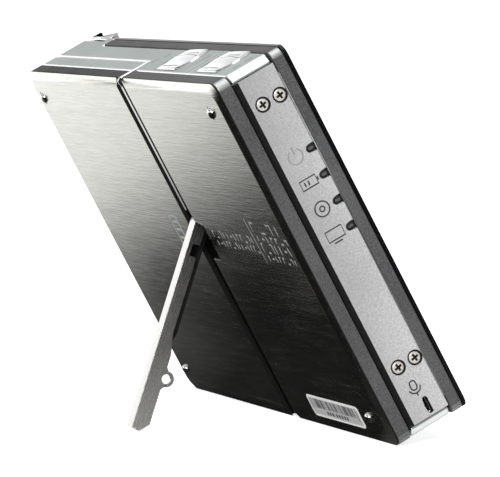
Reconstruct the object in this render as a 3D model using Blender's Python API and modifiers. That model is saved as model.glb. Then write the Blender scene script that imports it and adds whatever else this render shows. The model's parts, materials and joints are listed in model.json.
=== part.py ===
"""Portable media player that leans on its own fold-out leg, modelled piece by piece.

The body is drawn upright: x runs from the status lights' side to the sockets' side, y from the
screen to the back, z from the bottom face to the top face. One empty then leans it back until
the lower back edge and the foot of the leg stand on the ground.
"""

from math import asin, atan2, cos, pi, radians, sin

import bmesh
import bpy
from mathutils import Matrix, Vector

PART_NAME = "portable_media_player"

# Body and its walls
BODY_WIDTH = 0.124
BODY_HEIGHT = 0.076
WALL = 0.0015
CORNER_CHAMFER = 0.002
CORNER_RADIUS = 0.0023

# Gaps
SEAM = 0.0002
FIT = 0.0003
STACK_GAP = 0.00015
OVERRUN = 0.001
WELD = 0.000002

# Layers of the body from the screen to the back
LENS_DEPTH = 0.00072
BEZEL_DEPTH = 0.00257
SIDE_DEPTH = 0.00768
EDGE_DEPTH = 0.0012
EDGE_INSET = 0.0008
BAND_DEPTH = 0.00301
BEVEL_DEPTH = 0.00068
BEVEL_INSET = 0.00145
PLATE_LIP = 0.00015
PLATE_RADIUS = 0.0025

# Screen, by its margins to the body's left side, the control column and the top and bottom
SCREEN_LEFT_MARGIN = 0.0038
SCREEN_RIGHT_MARGIN = 0.0046
SCREEN_END_MARGIN = 0.007
LCD_THICKNESS = 0.0011
BACKLIGHT_THICKNESS = 0.0015
DECK_THICKNESS = 0.0004

# Control column beside the screen
COLUMN_WIDTH = 0.0196
COLUMN_PANEL = 0.0012
FRONT_ROCKER_COUNT = 4
WINDOW_GAP = 0.0018
FRONT_ROCKER_GAP = 0.0006
FRONT_ROCKER_WIDTH = 0.0132
FRONT_ROCKER_PEAK = 0.0022
FRONT_ROCKER_VALLEY = 0.00106
FRONT_ROCKER_PEAK_PLACE = 0.0054
FRONT_ROCKER_RIM = 0.0006
FRONT_ROCKER_BASE = 0.0006
FRONT_ROCKER_TOP_DROP = 0.0002
FRONT_HUB_MARGIN = 0.0017
FRONT_HUB_HALF = 0.0016
FRONT_HUB_DEPTH = 0.0039
FRONT_LEG_PLACE = 0.0046
FRONT_LEG_HALF = 0.0006
ROD_RADIUS = 0.0006
ROD_DEPTH = 0.0023
ROD_SEAT = 0.0013
ROD_SEAT_HALF = 0.0015

# Rockers on the top face, placed from the lights' side and from the frame's front
TOP_ROCKER_INSETS = (0.0402, 0.0155)
TOP_ROCKER_SETBACK = 0.00396
TOP_ROCKER_HALF_LENGTH = 0.0039
TOP_ROCKER_HALF_END = 0.0057
TOP_ROCKER_HALF_MIDDLE = 0.0071
TOP_ROCKER_RISE = 0.00035
TOP_ROCKER_DISH = 0.00065
DISH_HALF_ANGLE = radians(30)
TOP_ROCKER_SKIRT = 0.0022
TOP_PIN_DROP = 0.0034
TOP_PIN_RADIUS = 0.0005
TOP_HUB_HALF_WIDTH = 0.003
TOP_HUB_HALF_DEPTH = 0.0011
TOP_LEG_PLACE = 0.0023
TOP_LEG_HALF = 0.0005
TOP_LEG_DROP = 0.0018
TOP_LUG_THICKNESS = 0.001
TOP_LUG_HALF_DEPTH = 0.0015
TOP_LUG_REACH = 0.001

# Side panel with its screws, status lights and microphone slot
PANEL_THICKNESS = 0.0014
SIDE_WALL = 0.001
SIDE_SCREW_BACK_INSET = 0.00232
SIDE_SCREW_FRONT_INSET = 0.00166
SIDE_SCREW_DROP = 0.00775
SIDE_SCREW_LOW = 0.0131
SIDE_SCREW_RADIUS = 0.00135
SIDE_SCREW_HEAD = 0.00085
SIDE_SCREW_SHANK_RADIUS = 0.0007
SIDE_SCREW_LENGTH = 0.0042
CROSS_LENGTH = 0.0017
CROSS_WIDTH = 0.00045
CROSS_DEPTH = 0.00045
COUNTERBORE_DEPTH = 0.00095
BOSS_LENGTH = 0.0029
BOSS_HALF_HEIGHT = 0.0036
BOSS_MARGIN = 0.00075
LIGHT_DROP = 0.0191
LIGHT_PITCH = 0.00543
LIGHT_COUNT = 4
LIGHT_SETBACK = 0.00011
LIGHT_LENGTH = 0.0018
LIGHT_HEIGHT = 0.0012
MIC_SETBACK = 0.00361
MIC_HEIGHT = 0.0042
MIC_SLOT_LENGTH = 0.0035
MIC_SLOT_WIDTH = 0.0011
MIC_RADIUS = 0.002
MIC_THICKNESS = 0.0015

# Stand channel and leg
CHANNEL_INSET = 0.05585
CHANNEL_WALL = 0.0004
CHANNEL_FLOOR = 0.00035
TRIM_LENGTH = 0.0273
TRIM_WIDTH = 0.0022
TRIM_THICKNESS = 0.0013
TRIM_CAP = 0.0004
TRIM_DROP = 0.0003
TRIM_END_DROP = 0.0007
NOTCH_WIDTH = 0.00445
NOTCH_BELOW = 0.007
NOTCH_ABOVE = 0.0011
NOTCH_OPEN_BELOW = 0.003
NOTCH_SLANT = 0.0009
NOTCH_DEPTH = 0.0031
NOTCH_WALL = 0.0005
PIVOT_INSET = 0.00236
PIVOT_ROOM = 0.0034
OPEN_ANGLE = radians(46.5)
LEG_WIDTH = 0.0032
LEG_SHEET = 0.0008
LEG_PIVOT_DEPTH = 0.0022
LEG_FOOT_ROOM = 0.0007
LEG_NEAR_DEPTH = 0.0025
LEG_FAR_DEPTH = 0.004
LEG_LOWER_DEPTH = 0.0034
LEG_FAR_LOWER_DEPTH = 0.0026
LEG_STEP_RUN = 0.0042
LEG_STEP_TO_EYELET = 0.0089
LEG_SLOT_PLACE = 0.0051
LEG_SLOT_LENGTH = 0.00235
LEG_SLOT_DEPTH = 0.0015
LEG_HEEL = 0.0015
EYELET_TO_FOOT = 0.0111
EYELET_DEPTH = 0.0039
EYELET_RADIUS = 0.0016
EYELET_HOLE_RADIUS = 0.00095
EYELET_FLARE = 0.0007
FOOT_CHAMFER = 0.0017
FOOT_SLANT = 0.0002
PIN_RADIUS = 0.00075
DETENT_RADIUS = 0.0019
DETENT_THICKNESS = 0.0006
DETENT_ROOM = 0.0005

# Battery module
MODULE_OVERLAP = 0.00257
MODULE_LIP_INSET = 0.00215
MODULE_WALL = 0.001
MODULE_FLOOR = 0.0008
BAY_FLOOR = 0.0016
CONTACT_SIZE = (0.0046, 0.0022, 0.007)
CONTACT_DROP = 0.011
CONTACT_PLATE = 0.002
CELL_CLEARANCE = 0.0015

# Drive, boards and sockets
DRIVE_LOW = 0.0062
DRIVE_DROP = 0.0158
DRIVE_ROOM = 0.00023
DRIVE_CLEARANCE = 0.0014
DRIVE_RAIL_TOP = 0.0015
BOARD_THICKNESS = 0.0008
MAIN_BOARD_DROP = 0.0067
MAIN_BOARD_LOW = 0.0022
SWITCH_BOARD_MARGIN = 0.0025
VIDEO_BOARD_WIDTH = 0.0272
VIDEO_BOARD_REACH = 0.001
VIDEO_BOARD_MARGIN = 0.002
LIGHT_BOARD_DEPTH = 0.0042
LIGHT_BOARD_MARGIN = 0.0035
DECODER_SIZE = (0.014, 0.0012, 0.014)
DECODER_PLACE_SHARE = (0.42, 0.48)
PROCESSOR_SIZE = (0.013, 0.0012, 0.013)
PROCESSOR_PLACE_SHARE = (0.5, 0.55)
SHIELD_SIZE = (0.015, 0.0026, 0.016)
SHIELD_PLACE_SHARE = (0.8, 0.85)
SPEAKER_SIZE = (0.018, 0.0036, 0.0074)
SPEAKER_INSET = 0.012
SPEAKER_LOW = 0.0027
SPEAKER_SLOT_COUNT = 4
SPEAKER_SLOT_WIDTH = 0.0012
SPEAKER_SLOT_DEPTH = 0.0014
GASKET_THICKNESS = 0.0006
GASKET_HALF_DEPTH = 0.0008
JACK_BODY = (0.0105, 0.0046, 0.0062)
JACK_LOW = 0.0028
JACK_GAP = 0.0016
JACK_BARREL_RADII = {"headphone_jack": 0.0023, "av_jack": 0.0023, "dc_jack": 0.002}
JACK_BORE_RADII = {"headphone_jack": 0.00175, "av_jack": 0.00175, "dc_jack": 0.0011}
JACK_BORE_DEPTH = 0.009
USB_BODY = (0.009, 0.0034, 0.0076)
USB_GAP = 0.0018
USB_MOUTH = (0.006, 0.0016, 0.0056)
JACK_BOARD_MARGIN = 0.0008

# Screws of the two back plates, by their insets from the upper and the lower outer corner
REAR_SCREW_INSETS = ((0.0078, 0.0058), (0.0080, 0.0056))
BATTERY_SCREW_INSETS = ((0.0050, 0.0058), (0.0046, 0.0053))
PLATE_SCREW_RADIUS = 0.0011
PLATE_SCREW_HEAD = 0.0004
PLATE_SCREW_DOME = 0.00035
PLATE_SCREW_SHANK_RADIUS = 0.0006
PLATE_SCREW_LENGTH = 0.0032
PLATE_HOLE_RADIUS = 0.00145
POST_RADIUS = 0.002

ROUND_STEPS = 20
CORNER_STEPS = 5
CURVE_STEPS = 8
SMOOTH_ANGLE = radians(35)

# Places worked out from the sizes above
LEFT = -BODY_WIDTH / 2
RIGHT = BODY_WIDTH / 2
FRAME_FRONT = LENS_DEPTH + BEZEL_DEPTH
EDGE_FRONT = FRAME_FRONT + SIDE_DEPTH
BAND_FRONT = EDGE_FRONT + EDGE_DEPTH
BEVEL_FRONT = BAND_FRONT + BAND_DEPTH
BODY_DEPTH = BEVEL_FRONT + BEVEL_DEPTH
PLATE_FRONT = BEVEL_FRONT - PLATE_LIP
BAND_BACK = PLATE_FRONT - STACK_GAP
INNER_TOP = BODY_HEIGHT - WALL
INNER_RIGHT = RIGHT - WALL
COLUMN_LEFT = RIGHT - COLUMN_WIDTH
COLUMN_WALL_RIGHT = COLUMN_LEFT + WALL
SCREEN_LEFT = LEFT + SCREEN_LEFT_MARGIN
SCREEN_RIGHT = COLUMN_LEFT - SCREEN_RIGHT_MARGIN
LCD_FRONT = LENS_DEPTH + STACK_GAP
BACKLIGHT_FRONT = LCD_FRONT + LCD_THICKNESS + STACK_GAP
DECK_FRONT = BACKLIGHT_FRONT + BACKLIGHT_THICKNESS + STACK_GAP
DECK_BACK = DECK_FRONT + DECK_THICKNESS
PIVOT_DEPTH = BODY_DEPTH - PIVOT_INSET
CHANNEL_BACK = PIVOT_DEPTH + LEG_PIVOT_DEPTH - EYELET_DEPTH - EYELET_RADIUS - FIT
DRIVE_FRONT = DECK_BACK + STACK_GAP
DRIVE_BACK = CHANNEL_BACK - CHANNEL_FLOOR - DRIVE_ROOM
CASE_FLOOR = DRIVE_BACK + FIT
BAY_BACK = CASE_FLOOR - FIT
BAY_FRONT = BAY_BACK - BAY_FLOOR
PANEL_BACK = LEFT + PANEL_THICKNESS
SIDE_OUTER = PANEL_BACK + SEAM
SIDE_INNER = SIDE_OUTER + SIDE_WALL
BOSS_END = SIDE_INNER + BOSS_LENGTH
VIDEO_BOARD_RIGHT = COLUMN_LEFT + VIDEO_BOARD_REACH
VIDEO_BOARD_LEFT = VIDEO_BOARD_RIGHT - VIDEO_BOARD_WIDTH
DRIVE_LEFT = BOSS_END + FIT
DRIVE_RIGHT = VIDEO_BOARD_LEFT - DRIVE_CLEARANCE
DRIVE_HIGH = BODY_HEIGHT - DRIVE_DROP
CHANNEL_LEFT = LEFT + CHANNEL_INSET
LEG_LEFT = CHANNEL_LEFT + FIT
LEG_RIGHT = LEG_LEFT + LEG_WIDTH
CHANNEL_RIGHT = LEG_RIGHT + STACK_GAP + DETENT_THICKNESS + DETENT_ROOM
TROUGH_LEFT = CHANNEL_LEFT - CHANNEL_WALL
TROUGH_RIGHT = CHANNEL_RIGHT + CHANNEL_WALL
TROUGH_TOP = INNER_TOP - FIT
CHANNEL_SLOT_TOP = TROUGH_TOP - TRIM_LENGTH
PIVOT_HEIGHT = CHANNEL_SLOT_TOP - PIVOT_ROOM
LEG_LENGTH = PIVOT_HEIGHT - LEG_FOOT_ROOM
EYELET_PLACE = LEG_LENGTH - EYELET_TO_FOOT
LEG_STEP_PLACE = EYELET_PLACE - LEG_STEP_TO_EYELET
NOTCH_LOW = PIVOT_HEIGHT - NOTCH_BELOW
NOTCH_HIGH = PIVOT_HEIGHT + NOTCH_ABOVE
NOTCH_OPEN_HIGH = PIVOT_HEIGHT - NOTCH_OPEN_BELOW
MODULE_FRONT = EDGE_FRONT - MODULE_OVERLAP
MODULE_LEFT = TROUGH_RIGHT + FIT
MODULE_LIP_LEFT = CHANNEL_LEFT + MODULE_LIP_INSET
BAND_INNER = TROUGH_LEFT - SEAM
SIDE_SCREW_DEPTHS = (EDGE_FRONT - SIDE_SCREW_BACK_INSET, FRAME_FRONT + SIDE_SCREW_FRONT_INSET)
SIDE_SCREW_HEIGHTS = (BODY_HEIGHT - SIDE_SCREW_DROP, SIDE_SCREW_LOW)
BOSS_DEPTH = SIDE_SCREW_DEPTHS[0] + BOSS_MARGIN
LIGHT_FRONT = FRAME_FRONT + LIGHT_SETBACK
LIGHT_TOP = BODY_HEIGHT - LIGHT_DROP
MIC_DEPTH = FRAME_FRONT + MIC_SETBACK
MAIN_BOARD_FRONT = BOSS_DEPTH + FIT
MAIN_BOARD_BACK = MAIN_BOARD_FRONT + BOARD_THICKNESS
JACK_PITCH = JACK_BODY[2] + JACK_GAP
DC_HEIGHT = JACK_LOW + JACK_BODY[2] / 2
AV_HEIGHT = DC_HEIGHT + JACK_PITCH
HEADPHONE_HEIGHT = AV_HEIGHT + JACK_PITCH
JACK_HEIGHTS = {"headphone_jack": HEADPHONE_HEIGHT, "av_jack": AV_HEIGHT, "dc_jack": DC_HEIGHT}
USB_HEIGHT = HEADPHONE_HEIGHT + JACK_BODY[2] / 2 + USB_GAP + USB_BODY[2] / 2
WINDOW_LOW = USB_HEIGHT + USB_BODY[2] / 2 + WINDOW_GAP
ROD_PLACE = INNER_RIGHT - FIT - FRONT_ROCKER_WIDTH / 2
WINDOW_LEFT = ROD_PLACE - FRONT_ROCKER_WIDTH / 2 - FIT
FRONT_ROCKER_PITCH = (BODY_HEIGHT - FRONT_ROCKER_TOP_DROP - WINDOW_LOW) / FRONT_ROCKER_COUNT
TOP_ROCKER_CENTRES = [LEFT + inset for inset in TOP_ROCKER_INSETS]
TOP_ROCKER_DEPTH = FRAME_FRONT + TOP_ROCKER_SETBACK
TOP_PIN_HEIGHT = BODY_HEIGHT - TOP_PIN_DROP
(REAR_HIGH, REAR_LOW) = REAR_SCREW_INSETS
(BATTERY_HIGH, BATTERY_LOW) = BATTERY_SCREW_INSETS
PLATE_SCREW_PLACES = {
    "rear": ((LEFT + REAR_HIGH[0], BODY_HEIGHT - REAR_HIGH[1]), (LEFT + REAR_LOW[0], REAR_LOW[1])),
    "battery": (
        (RIGHT - BATTERY_HIGH[0], BODY_HEIGHT - BATTERY_HIGH[1]), (RIGHT - BATTERY_LOW[0], BATTERY_LOW[1])),
}

# How outline coordinates lie in the body: the outline's plane is square to the named axis.
PLANES = {
    "X": Matrix(((0, 0, 1), (1, 0, 0), (0, 1, 0))),
    "Y": Matrix(((1, 0, 0), (0, 0, -1), (0, 1, 0))),
    "Z": Matrix.Identity(3),
}
AXES = {"X": Vector((1, 0, 0)), "Y": Vector((0, 1, 0)), "Z": Vector((0, 0, 1))}

SILVER = ("satin_silver", (0.62, 0.63, 0.62), 0.85, 0.38)
DARK_SHELL = ("dark_shell", (0.13, 0.125, 0.125), 0.3, 0.5)
BLACK_PLASTIC = ("black_plastic", (0.02, 0.02, 0.022), 0.0, 0.45)
BRUSHED = ("brushed_plate", (0.30, 0.30, 0.28), 1.0, 0.3)
CHROME = ("bright_chrome", (0.85, 0.85, 0.85), 1.0, 0.12)
STEEL = ("stand_steel", (0.50, 0.49, 0.47), 1.0, 0.32)
LENS_GLOSS = ("lens_gloss", (0.01, 0.01, 0.012), 0.0, 0.08)
PIPE_GREY = ("light_pipe", (0.16, 0.16, 0.17), 0.0, 0.25)
RUBBER = ("rubber", (0.03, 0.03, 0.03), 0.0, 0.8)
BOARD_GREEN = ("circuit_board", (0.02, 0.16, 0.07), 0.0, 0.45)
CHIP_BLACK = ("chip_black", (0.03, 0.03, 0.035), 0.0, 0.5)
CELL_WRAP = ("cell_wrap", (0.10, 0.22, 0.45), 0.0, 0.4)
DRIVE_CASE = ("drive_case", (0.55, 0.56, 0.58), 0.9, 0.3)
GLASS_GREY = ("panel_glass", (0.05, 0.05, 0.06), 0.0, 0.15)
WHITE_FILM = ("diffuser", (0.85, 0.86, 0.86), 0.0, 0.5)
GOLD = ("contact_gold", (0.80, 0.60, 0.25), 1.0, 0.25)


def material(finish):
    """Returns the material of a finish, made the first time it is asked for."""
    name, colour, metallic, roughness = finish
    found = bpy.data.materials.get(name)
    if found:
        return found
    made = bpy.data.materials.new(name)
    made.use_nodes = True
    shader = made.node_tree.nodes["Principled BSDF"]
    shader.inputs["Base Color"].default_value = (*colour, 1)
    shader.inputs["Metallic"].default_value = metallic
    shader.inputs["Roughness"].default_value = roughness
    return made


def collection(name):
    """Returns the scene's collection of that name, made the first time."""
    found = bpy.data.collections.get(name)
    if found is None:
        found = bpy.data.collections.new(name)
        bpy.context.scene.collection.children.link(found)
    return found


def axis_empty(name, place, parent=None):
    """Adds an empty that carries pieces at a joint's axis or at the body's corner."""
    empty = bpy.data.objects.new(name, None)
    empty.location = place
    empty.parent = parent
    collection(PART_NAME).objects.link(empty)
    return empty


def add_object(name, mesh, finish, parent, place):
    """Adds a piece, or a hidden helper where there is no finish."""
    piece = bpy.data.objects.new(name, mesh)
    piece.location = place
    piece.parent = parent
    if finish:
        mesh.materials.append(material(finish))
        collection(PART_NAME).objects.link(piece)
    else:
        piece.hide_render = True
        piece.display_type = "WIRE"
        collection("cutters").objects.link(piece)
    return piece


def mesh_from(name, build):
    """Makes a mesh from what the build function puts into an empty one."""
    shape = bmesh.new()
    build(shape)
    mesh = bpy.data.meshes.new(name)
    shape.to_mesh(mesh)
    shape.free()
    return mesh


def box(name, low, high, finish, parent, place=(0, 0, 0)):
    """A block between two corners, given from the place that is its origin."""
    low = Vector(low)
    high = Vector(high)

    def build(shape):
        bmesh.ops.create_cube(shape, size=1)
        bmesh.ops.scale(shape, vec=high - low, verts=shape.verts)
        bmesh.ops.translate(shape, vec=(low + high) / 2, verts=shape.verts)

    return add_object(name, mesh_from(name, build), finish, parent, place)


def rod(name, radius, axis, low, high, centre, finish, parent):
    """A round bar along an axis of the body, with its origin on that axis."""
    length = high - low
    turn = AXES["Z"].rotation_difference(AXES[axis]).to_matrix().to_4x4()
    middle = AXES[axis] * (low + high) / 2

    def build(shape):
        bmesh.ops.create_cone(
            shape, cap_ends=True, segments=ROUND_STEPS, radius1=radius, radius2=radius, depth=length)
        bmesh.ops.transform(shape, matrix=Matrix.Translation(middle) @ turn, verts=shape.verts)

    mesh = mesh_from(name, build)
    mesh.shade_smooth()
    mesh.set_sharp_from_angle(angle=SMOOTH_ANGLE)
    return add_object(name, mesh, finish, parent, centre)


def outline_mesh(name, loops, half_thickness):
    """A flat outline with its holes, thickened to both sides, as one closed mesh."""
    curve = bpy.data.curves.new(name, "CURVE")
    curve.dimensions = "2D"
    curve.fill_mode = "BOTH"
    curve.extrude = half_thickness
    for loop in loops:
        spline = curve.splines.new("POLY")
        spline.points.add(len(loop) - 1)
        spline.use_cyclic_u = True
        for point, (across, up) in zip(spline.points, loop):
            point.co = (across, up, 0, 1)
    holder = bpy.data.objects.new(name, curve)
    bpy.context.scene.collection.objects.link(holder)
    graph = bpy.context.evaluated_depsgraph_get()
    mesh = bpy.data.meshes.new_from_object(holder.evaluated_get(graph))
    bpy.data.objects.remove(holder)
    bpy.data.curves.remove(curve)
    shape = bmesh.new()
    shape.from_mesh(mesh)
    bmesh.ops.remove_doubles(shape, verts=shape.verts, dist=WELD)
    bmesh.ops.recalc_face_normals(shape, faces=shape.faces)
    shape.to_mesh(mesh)
    shape.free()
    return mesh


def extruded(name, loops, axis, low, high, finish, parent, place=(0, 0, 0)):
    """An outline pushed along an axis of the body, from low to high."""
    mesh = outline_mesh(name, loops, (high - low) / 2)
    middle = Matrix.Translation(AXES[axis] * (low + high) / 2)
    mesh.transform(middle @ PLANES[axis].to_4x4())
    mesh.shade_smooth()
    mesh.set_sharp_from_angle(angle=SMOOTH_ANGLE)
    return add_object(name, mesh, finish, parent, place)


def turned(name, profile, rotation, place, finish, parent):
    """A turned piece from a profile of radius and height that runs from its top to its bottom."""
    points = [(radius, 0, height) for radius, height in profile]
    edges = [(index, index + 1) for index in range(len(points) - 1)]
    mesh = bpy.data.meshes.new(name)
    mesh.from_pydata(points, edges, [])
    piece = add_object(name, mesh, finish, parent, place)
    piece.rotation_euler = rotation
    screw = piece.modifiers.new("turn", "SCREW")
    screw.steps = ROUND_STEPS
    screw.render_steps = ROUND_STEPS
    screw.use_merge_vertices = True
    screw.merge_threshold = WELD
    return piece


def loft(name, sections, finish, parent):
    """A plate between like-numbered outlines that lie at different depths of the body."""
    def build(shape):
        rings = []
        for loop, depth in sections:
            rings.append([shape.verts.new((across, depth, up)) for across, up in loop])
        for ring, following in zip(rings, rings[1:]):
            for index, vert in enumerate(ring):
                after = (index + 1) % len(ring)
                shape.faces.new((vert, ring[after], following[after], following[index]))
        shape.faces.new(rings[0])
        shape.faces.new(rings[-1])
        bmesh.ops.recalc_face_normals(shape, faces=shape.faces)

    return add_object(name, mesh_from(name, build), finish, parent, (0, 0, 0))


def boolean(target, helper, operation):
    """Cuts a helper from a piece, or joins it on."""
    modifier = target.modifiers.new(helper.name, "BOOLEAN")
    modifier.operation = operation
    modifier.object = helper
    modifier.solver = "EXACT"


def cut(target, helper):
    boolean(target, helper, "DIFFERENCE")


def join(target, helper):
    boolean(target, helper, "UNION")


def cut_box(target, low, high):
    """Cuts a block out of a piece that has its origin at the body's corner."""
    cut(target, box("cut", low, high, None, target.parent, target.location))


def cut_round(target, radius, axis, low, high, centre):
    """Bores a piece along an axis of the body."""
    cut(target, rod("bore", radius, axis, low, high, centre, None, target.parent))


def cut_outline(target, loop, axis, low, high, place=(0, 0, 0)):
    """Cuts an outline out of a piece along an axis of the body."""
    cut(target, extruded("slot", [loop], axis, low, high, None, target.parent, place))


def arc(centre, radius, start, end, steps=CORNER_STEPS):
    """Points of a round stretch between two angles."""
    turns = [start + (end - start) * step / steps for step in range(steps + 1)]
    return [(centre[0] + radius * cos(turn), centre[1] + radius * sin(turn)) for turn in turns]


def rectangle(low, high):
    return [(low[0], low[1]), (high[0], low[1]), (high[0], high[1]), (low[0], high[1])]


def circle(centre, radius):
    return arc(centre, radius, 0, 2 * pi, ROUND_STEPS)[:-1]


def pill(centre, half_length, half_width):
    """A slot outline that is long in its first coordinate."""
    straight = half_length - half_width
    first = arc((centre[0] + straight, centre[1]), half_width, -pi / 2, pi / 2)
    last = arc((centre[0] - straight, centre[1]), half_width, pi / 2, 3 * pi / 2)
    return first + last


def left_round_loop(right, radius, inset=0):
    """Body outline from the status lights' side to the given place, round at that side."""
    low = inset
    high = BODY_HEIGHT - inset
    side = LEFT + inset
    corners = arc((side + radius, high - radius), radius, pi / 2, pi)
    corners += arc((side + radius, low + radius), radius, pi, 3 * pi / 2)
    return [(right, high)] + corners + [(right, low)]


def right_round_corners(radius, inset=0):
    """The two round corners at the sockets' side, from the bottom to the top."""
    low = inset
    high = BODY_HEIGHT - inset
    side = RIGHT - inset
    corners = arc((side - radius, low + radius), radius, -pi / 2, 0)
    return corners + arc((side - radius, high - radius), radius, 0, pi / 2)


def chamfered_loop():
    """Body outline with its four flat corners."""
    return [
        (LEFT + CORNER_CHAMFER, 0), (RIGHT - CORNER_CHAMFER, 0),
        (RIGHT, CORNER_CHAMFER), (RIGHT, BODY_HEIGHT - CORNER_CHAMFER),
        (RIGHT - CORNER_CHAMFER, BODY_HEIGHT), (LEFT + CORNER_CHAMFER, BODY_HEIGHT),
        (LEFT, BODY_HEIGHT - CORNER_CHAMFER), (LEFT, CORNER_CHAMFER),
    ]


def barrel_loop(clearance=0):
    """Outline of a top rocker: bulged sides between two straight ends."""
    half_length = TOP_ROCKER_HALF_LENGTH + clearance
    bulge = TOP_ROCKER_HALF_MIDDLE - TOP_ROCKER_HALF_END
    side = []
    for step in range(CURVE_STEPS + 1):
        share = 2 * step / CURVE_STEPS - 1
        half = TOP_ROCKER_HALF_END + clearance + bulge * (1 - share * share)
        side.append((half, share * half_length))
    return side + [(-half, depth) for half, depth in reversed(side)]


def light_heights():
    return [LIGHT_TOP - LIGHT_PITCH * index for index in range(LIGHT_COUNT)]


def screen_pieces(body):
    """Lens, bezel, screen panel and backlight."""
    edge = COLUMN_LEFT - SEAM
    lens_loop = left_round_loop(edge, CORNER_CHAMFER)
    extruded("screen_lens", [lens_loop], "Y", 0, LENS_DEPTH, LENS_GLOSS, body)
    low = Vector((SCREEN_LEFT, SCREEN_END_MARGIN))
    high = Vector((SCREEN_RIGHT, BODY_HEIGHT - SCREEN_END_MARGIN))
    room = Vector((FIT, FIT))
    bezel_loops = [lens_loop, rectangle(low - room, high + room)]
    bezel_back = FRAME_FRONT - SEAM
    extruded("front_bezel", bezel_loops, "Y", LENS_DEPTH + STACK_GAP, bezel_back, DARK_SHELL, body)
    panel_back = LCD_FRONT + LCD_THICKNESS
    box("lcd_panel", (low.x, LCD_FRONT, low.y), (high.x, panel_back, high.y), GLASS_GREY, body)
    backlight_high = (high.x, BACKLIGHT_FRONT + BACKLIGHT_THICKNESS, high.y)
    box("backlight_unit", (low.x, BACKLIGHT_FRONT, low.y), backlight_high, WHITE_FILM, body)


def bay_comb_loop():
    """Outline of the drive bay, with the screw bosses left standing at the side."""
    loop = [(TROUGH_RIGHT, WALL), (SIDE_INNER, WALL)]
    for height in sorted(SIDE_SCREW_HEIGHTS):
        low = height - BOSS_HALF_HEIGHT
        high = height + BOSS_HALF_HEIGHT
        loop += [(SIDE_INNER, low), (BOSS_END, low), (BOSS_END, high), (SIDE_INNER, high)]
    return loop + [(SIDE_INNER, INNER_TOP), (TROUGH_RIGHT, INNER_TOP)]


def cut_bays(frame):
    """Opens the frame for the screen, the drive and boards, the battery and the channel."""
    beyond_left = LEFT - OVERRUN
    beyond_right = RIGHT + OVERRUN
    beyond_top = BODY_HEIGHT + OVERRUN
    bay_left = CHANNEL_RIGHT - CHANNEL_WALL
    cut_box(frame, (beyond_left, -OVERRUN, -OVERRUN), (COLUMN_LEFT, FRAME_FRONT, beyond_top))
    side_low = CORNER_CHAMFER - SEAM
    cut_box(frame, (beyond_left, -OVERRUN, side_low), (SIDE_OUTER, BODY_DEPTH, BODY_HEIGHT - side_low))
    cut_box(frame, (SIDE_INNER, LENS_DEPTH, WALL), (COLUMN_LEFT - WALL, DECK_FRONT, INNER_TOP))
    cut_outline(frame, bay_comb_loop(), "Y", DECK_BACK, BOSS_DEPTH)
    cut_box(frame, (SIDE_INNER, BOSS_DEPTH - FIT, WALL), (bay_left, BODY_DEPTH, INNER_TOP))
    cut_box(frame, (bay_left - FIT, DECK_BACK, WALL), (INNER_RIGHT, BAY_FRONT, INNER_TOP))
    drive_low = (bay_left - FIT, DECK_BACK, DRIVE_LOW - FIT)
    cut_box(frame, drive_low, (DRIVE_RIGHT + FIT, BODY_DEPTH, DRIVE_HIGH + FIT))
    cut_box(frame, (COLUMN_WALL_RIGHT, COLUMN_PANEL, WALL), (INNER_RIGHT, DECK_BACK + FIT, INNER_TOP))
    module_left = MODULE_LIP_LEFT + SEAM / 2
    module_front = MODULE_FRONT - SEAM / 2
    cut_box(frame, (module_left, BAY_BACK, -OVERRUN), (beyond_right, BODY_DEPTH, beyond_top))
    cut_box(frame, (module_left, module_front, INNER_TOP - FIT), (beyond_right, BODY_DEPTH, beyond_top))
    cut_box(frame, (BAND_INNER, module_front, -OVERRUN), (beyond_right, BODY_DEPTH, WALL + FIT))
    cut_box(frame, (INNER_RIGHT - FIT, module_front, -OVERRUN), (beyond_right, BODY_DEPTH, beyond_top))
    window_high = (INNER_RIGHT, COLUMN_PANEL + FIT, beyond_top)
    cut_box(frame, (WINDOW_LEFT, -OVERRUN, WINDOW_LOW), window_high)


def cut_side_holes(target, outer, inner):
    """Screw holes, light slots and the microphone slot, through a wall at the lights' side."""
    radius = SIDE_SCREW_SHANK_RADIUS + FIT
    for depth in SIDE_SCREW_DEPTHS:
        for height in SIDE_SCREW_HEIGHTS:
            cut_round(target, radius, "X", outer, inner, (0, depth, height))
    slot_back = LIGHT_FRONT + LIGHT_LENGTH + SEAM
    half_length = LIGHT_LENGTH
    for height in light_heights():
        centre = (slot_back - half_length, height)
        cut_outline(target, pill(centre, half_length, LIGHT_HEIGHT / 2 + SEAM), "X", outer, inner)
    mic_loop = [
        (MIC_DEPTH + across, MIC_HEIGHT + up)
        for up, across in pill((0, 0), MIC_SLOT_LENGTH / 2, MIC_SLOT_WIDTH / 2)]
    cut_outline(target, mic_loop, "X", outer, inner)


def side_panel(body):
    """Silver panel of the lights' side, with counterbored screw holes."""
    front = FRAME_FRONT
    back = BAND_FRONT - SEAM / 2
    loop = [
        (LEFT, front), (PANEL_BACK, front), (PANEL_BACK, back),
        (LEFT + EDGE_INSET, back), (LEFT, EDGE_FRONT)]
    panel = extruded(
        "side_panel", [loop], "Z", CORNER_CHAMFER, BODY_HEIGHT - CORNER_CHAMFER, SILVER, body)
    cut_side_holes(panel, LEFT - OVERRUN, PANEL_BACK + OVERRUN)
    radius = SIDE_SCREW_RADIUS + STACK_GAP
    for depth in SIDE_SCREW_DEPTHS:
        for height in SIDE_SCREW_HEIGHTS:
            centre = (0, depth, height)
            cut_round(panel, radius, "X", LEFT - OVERRUN, LEFT + COUNTERBORE_DEPTH, centre)


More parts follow.
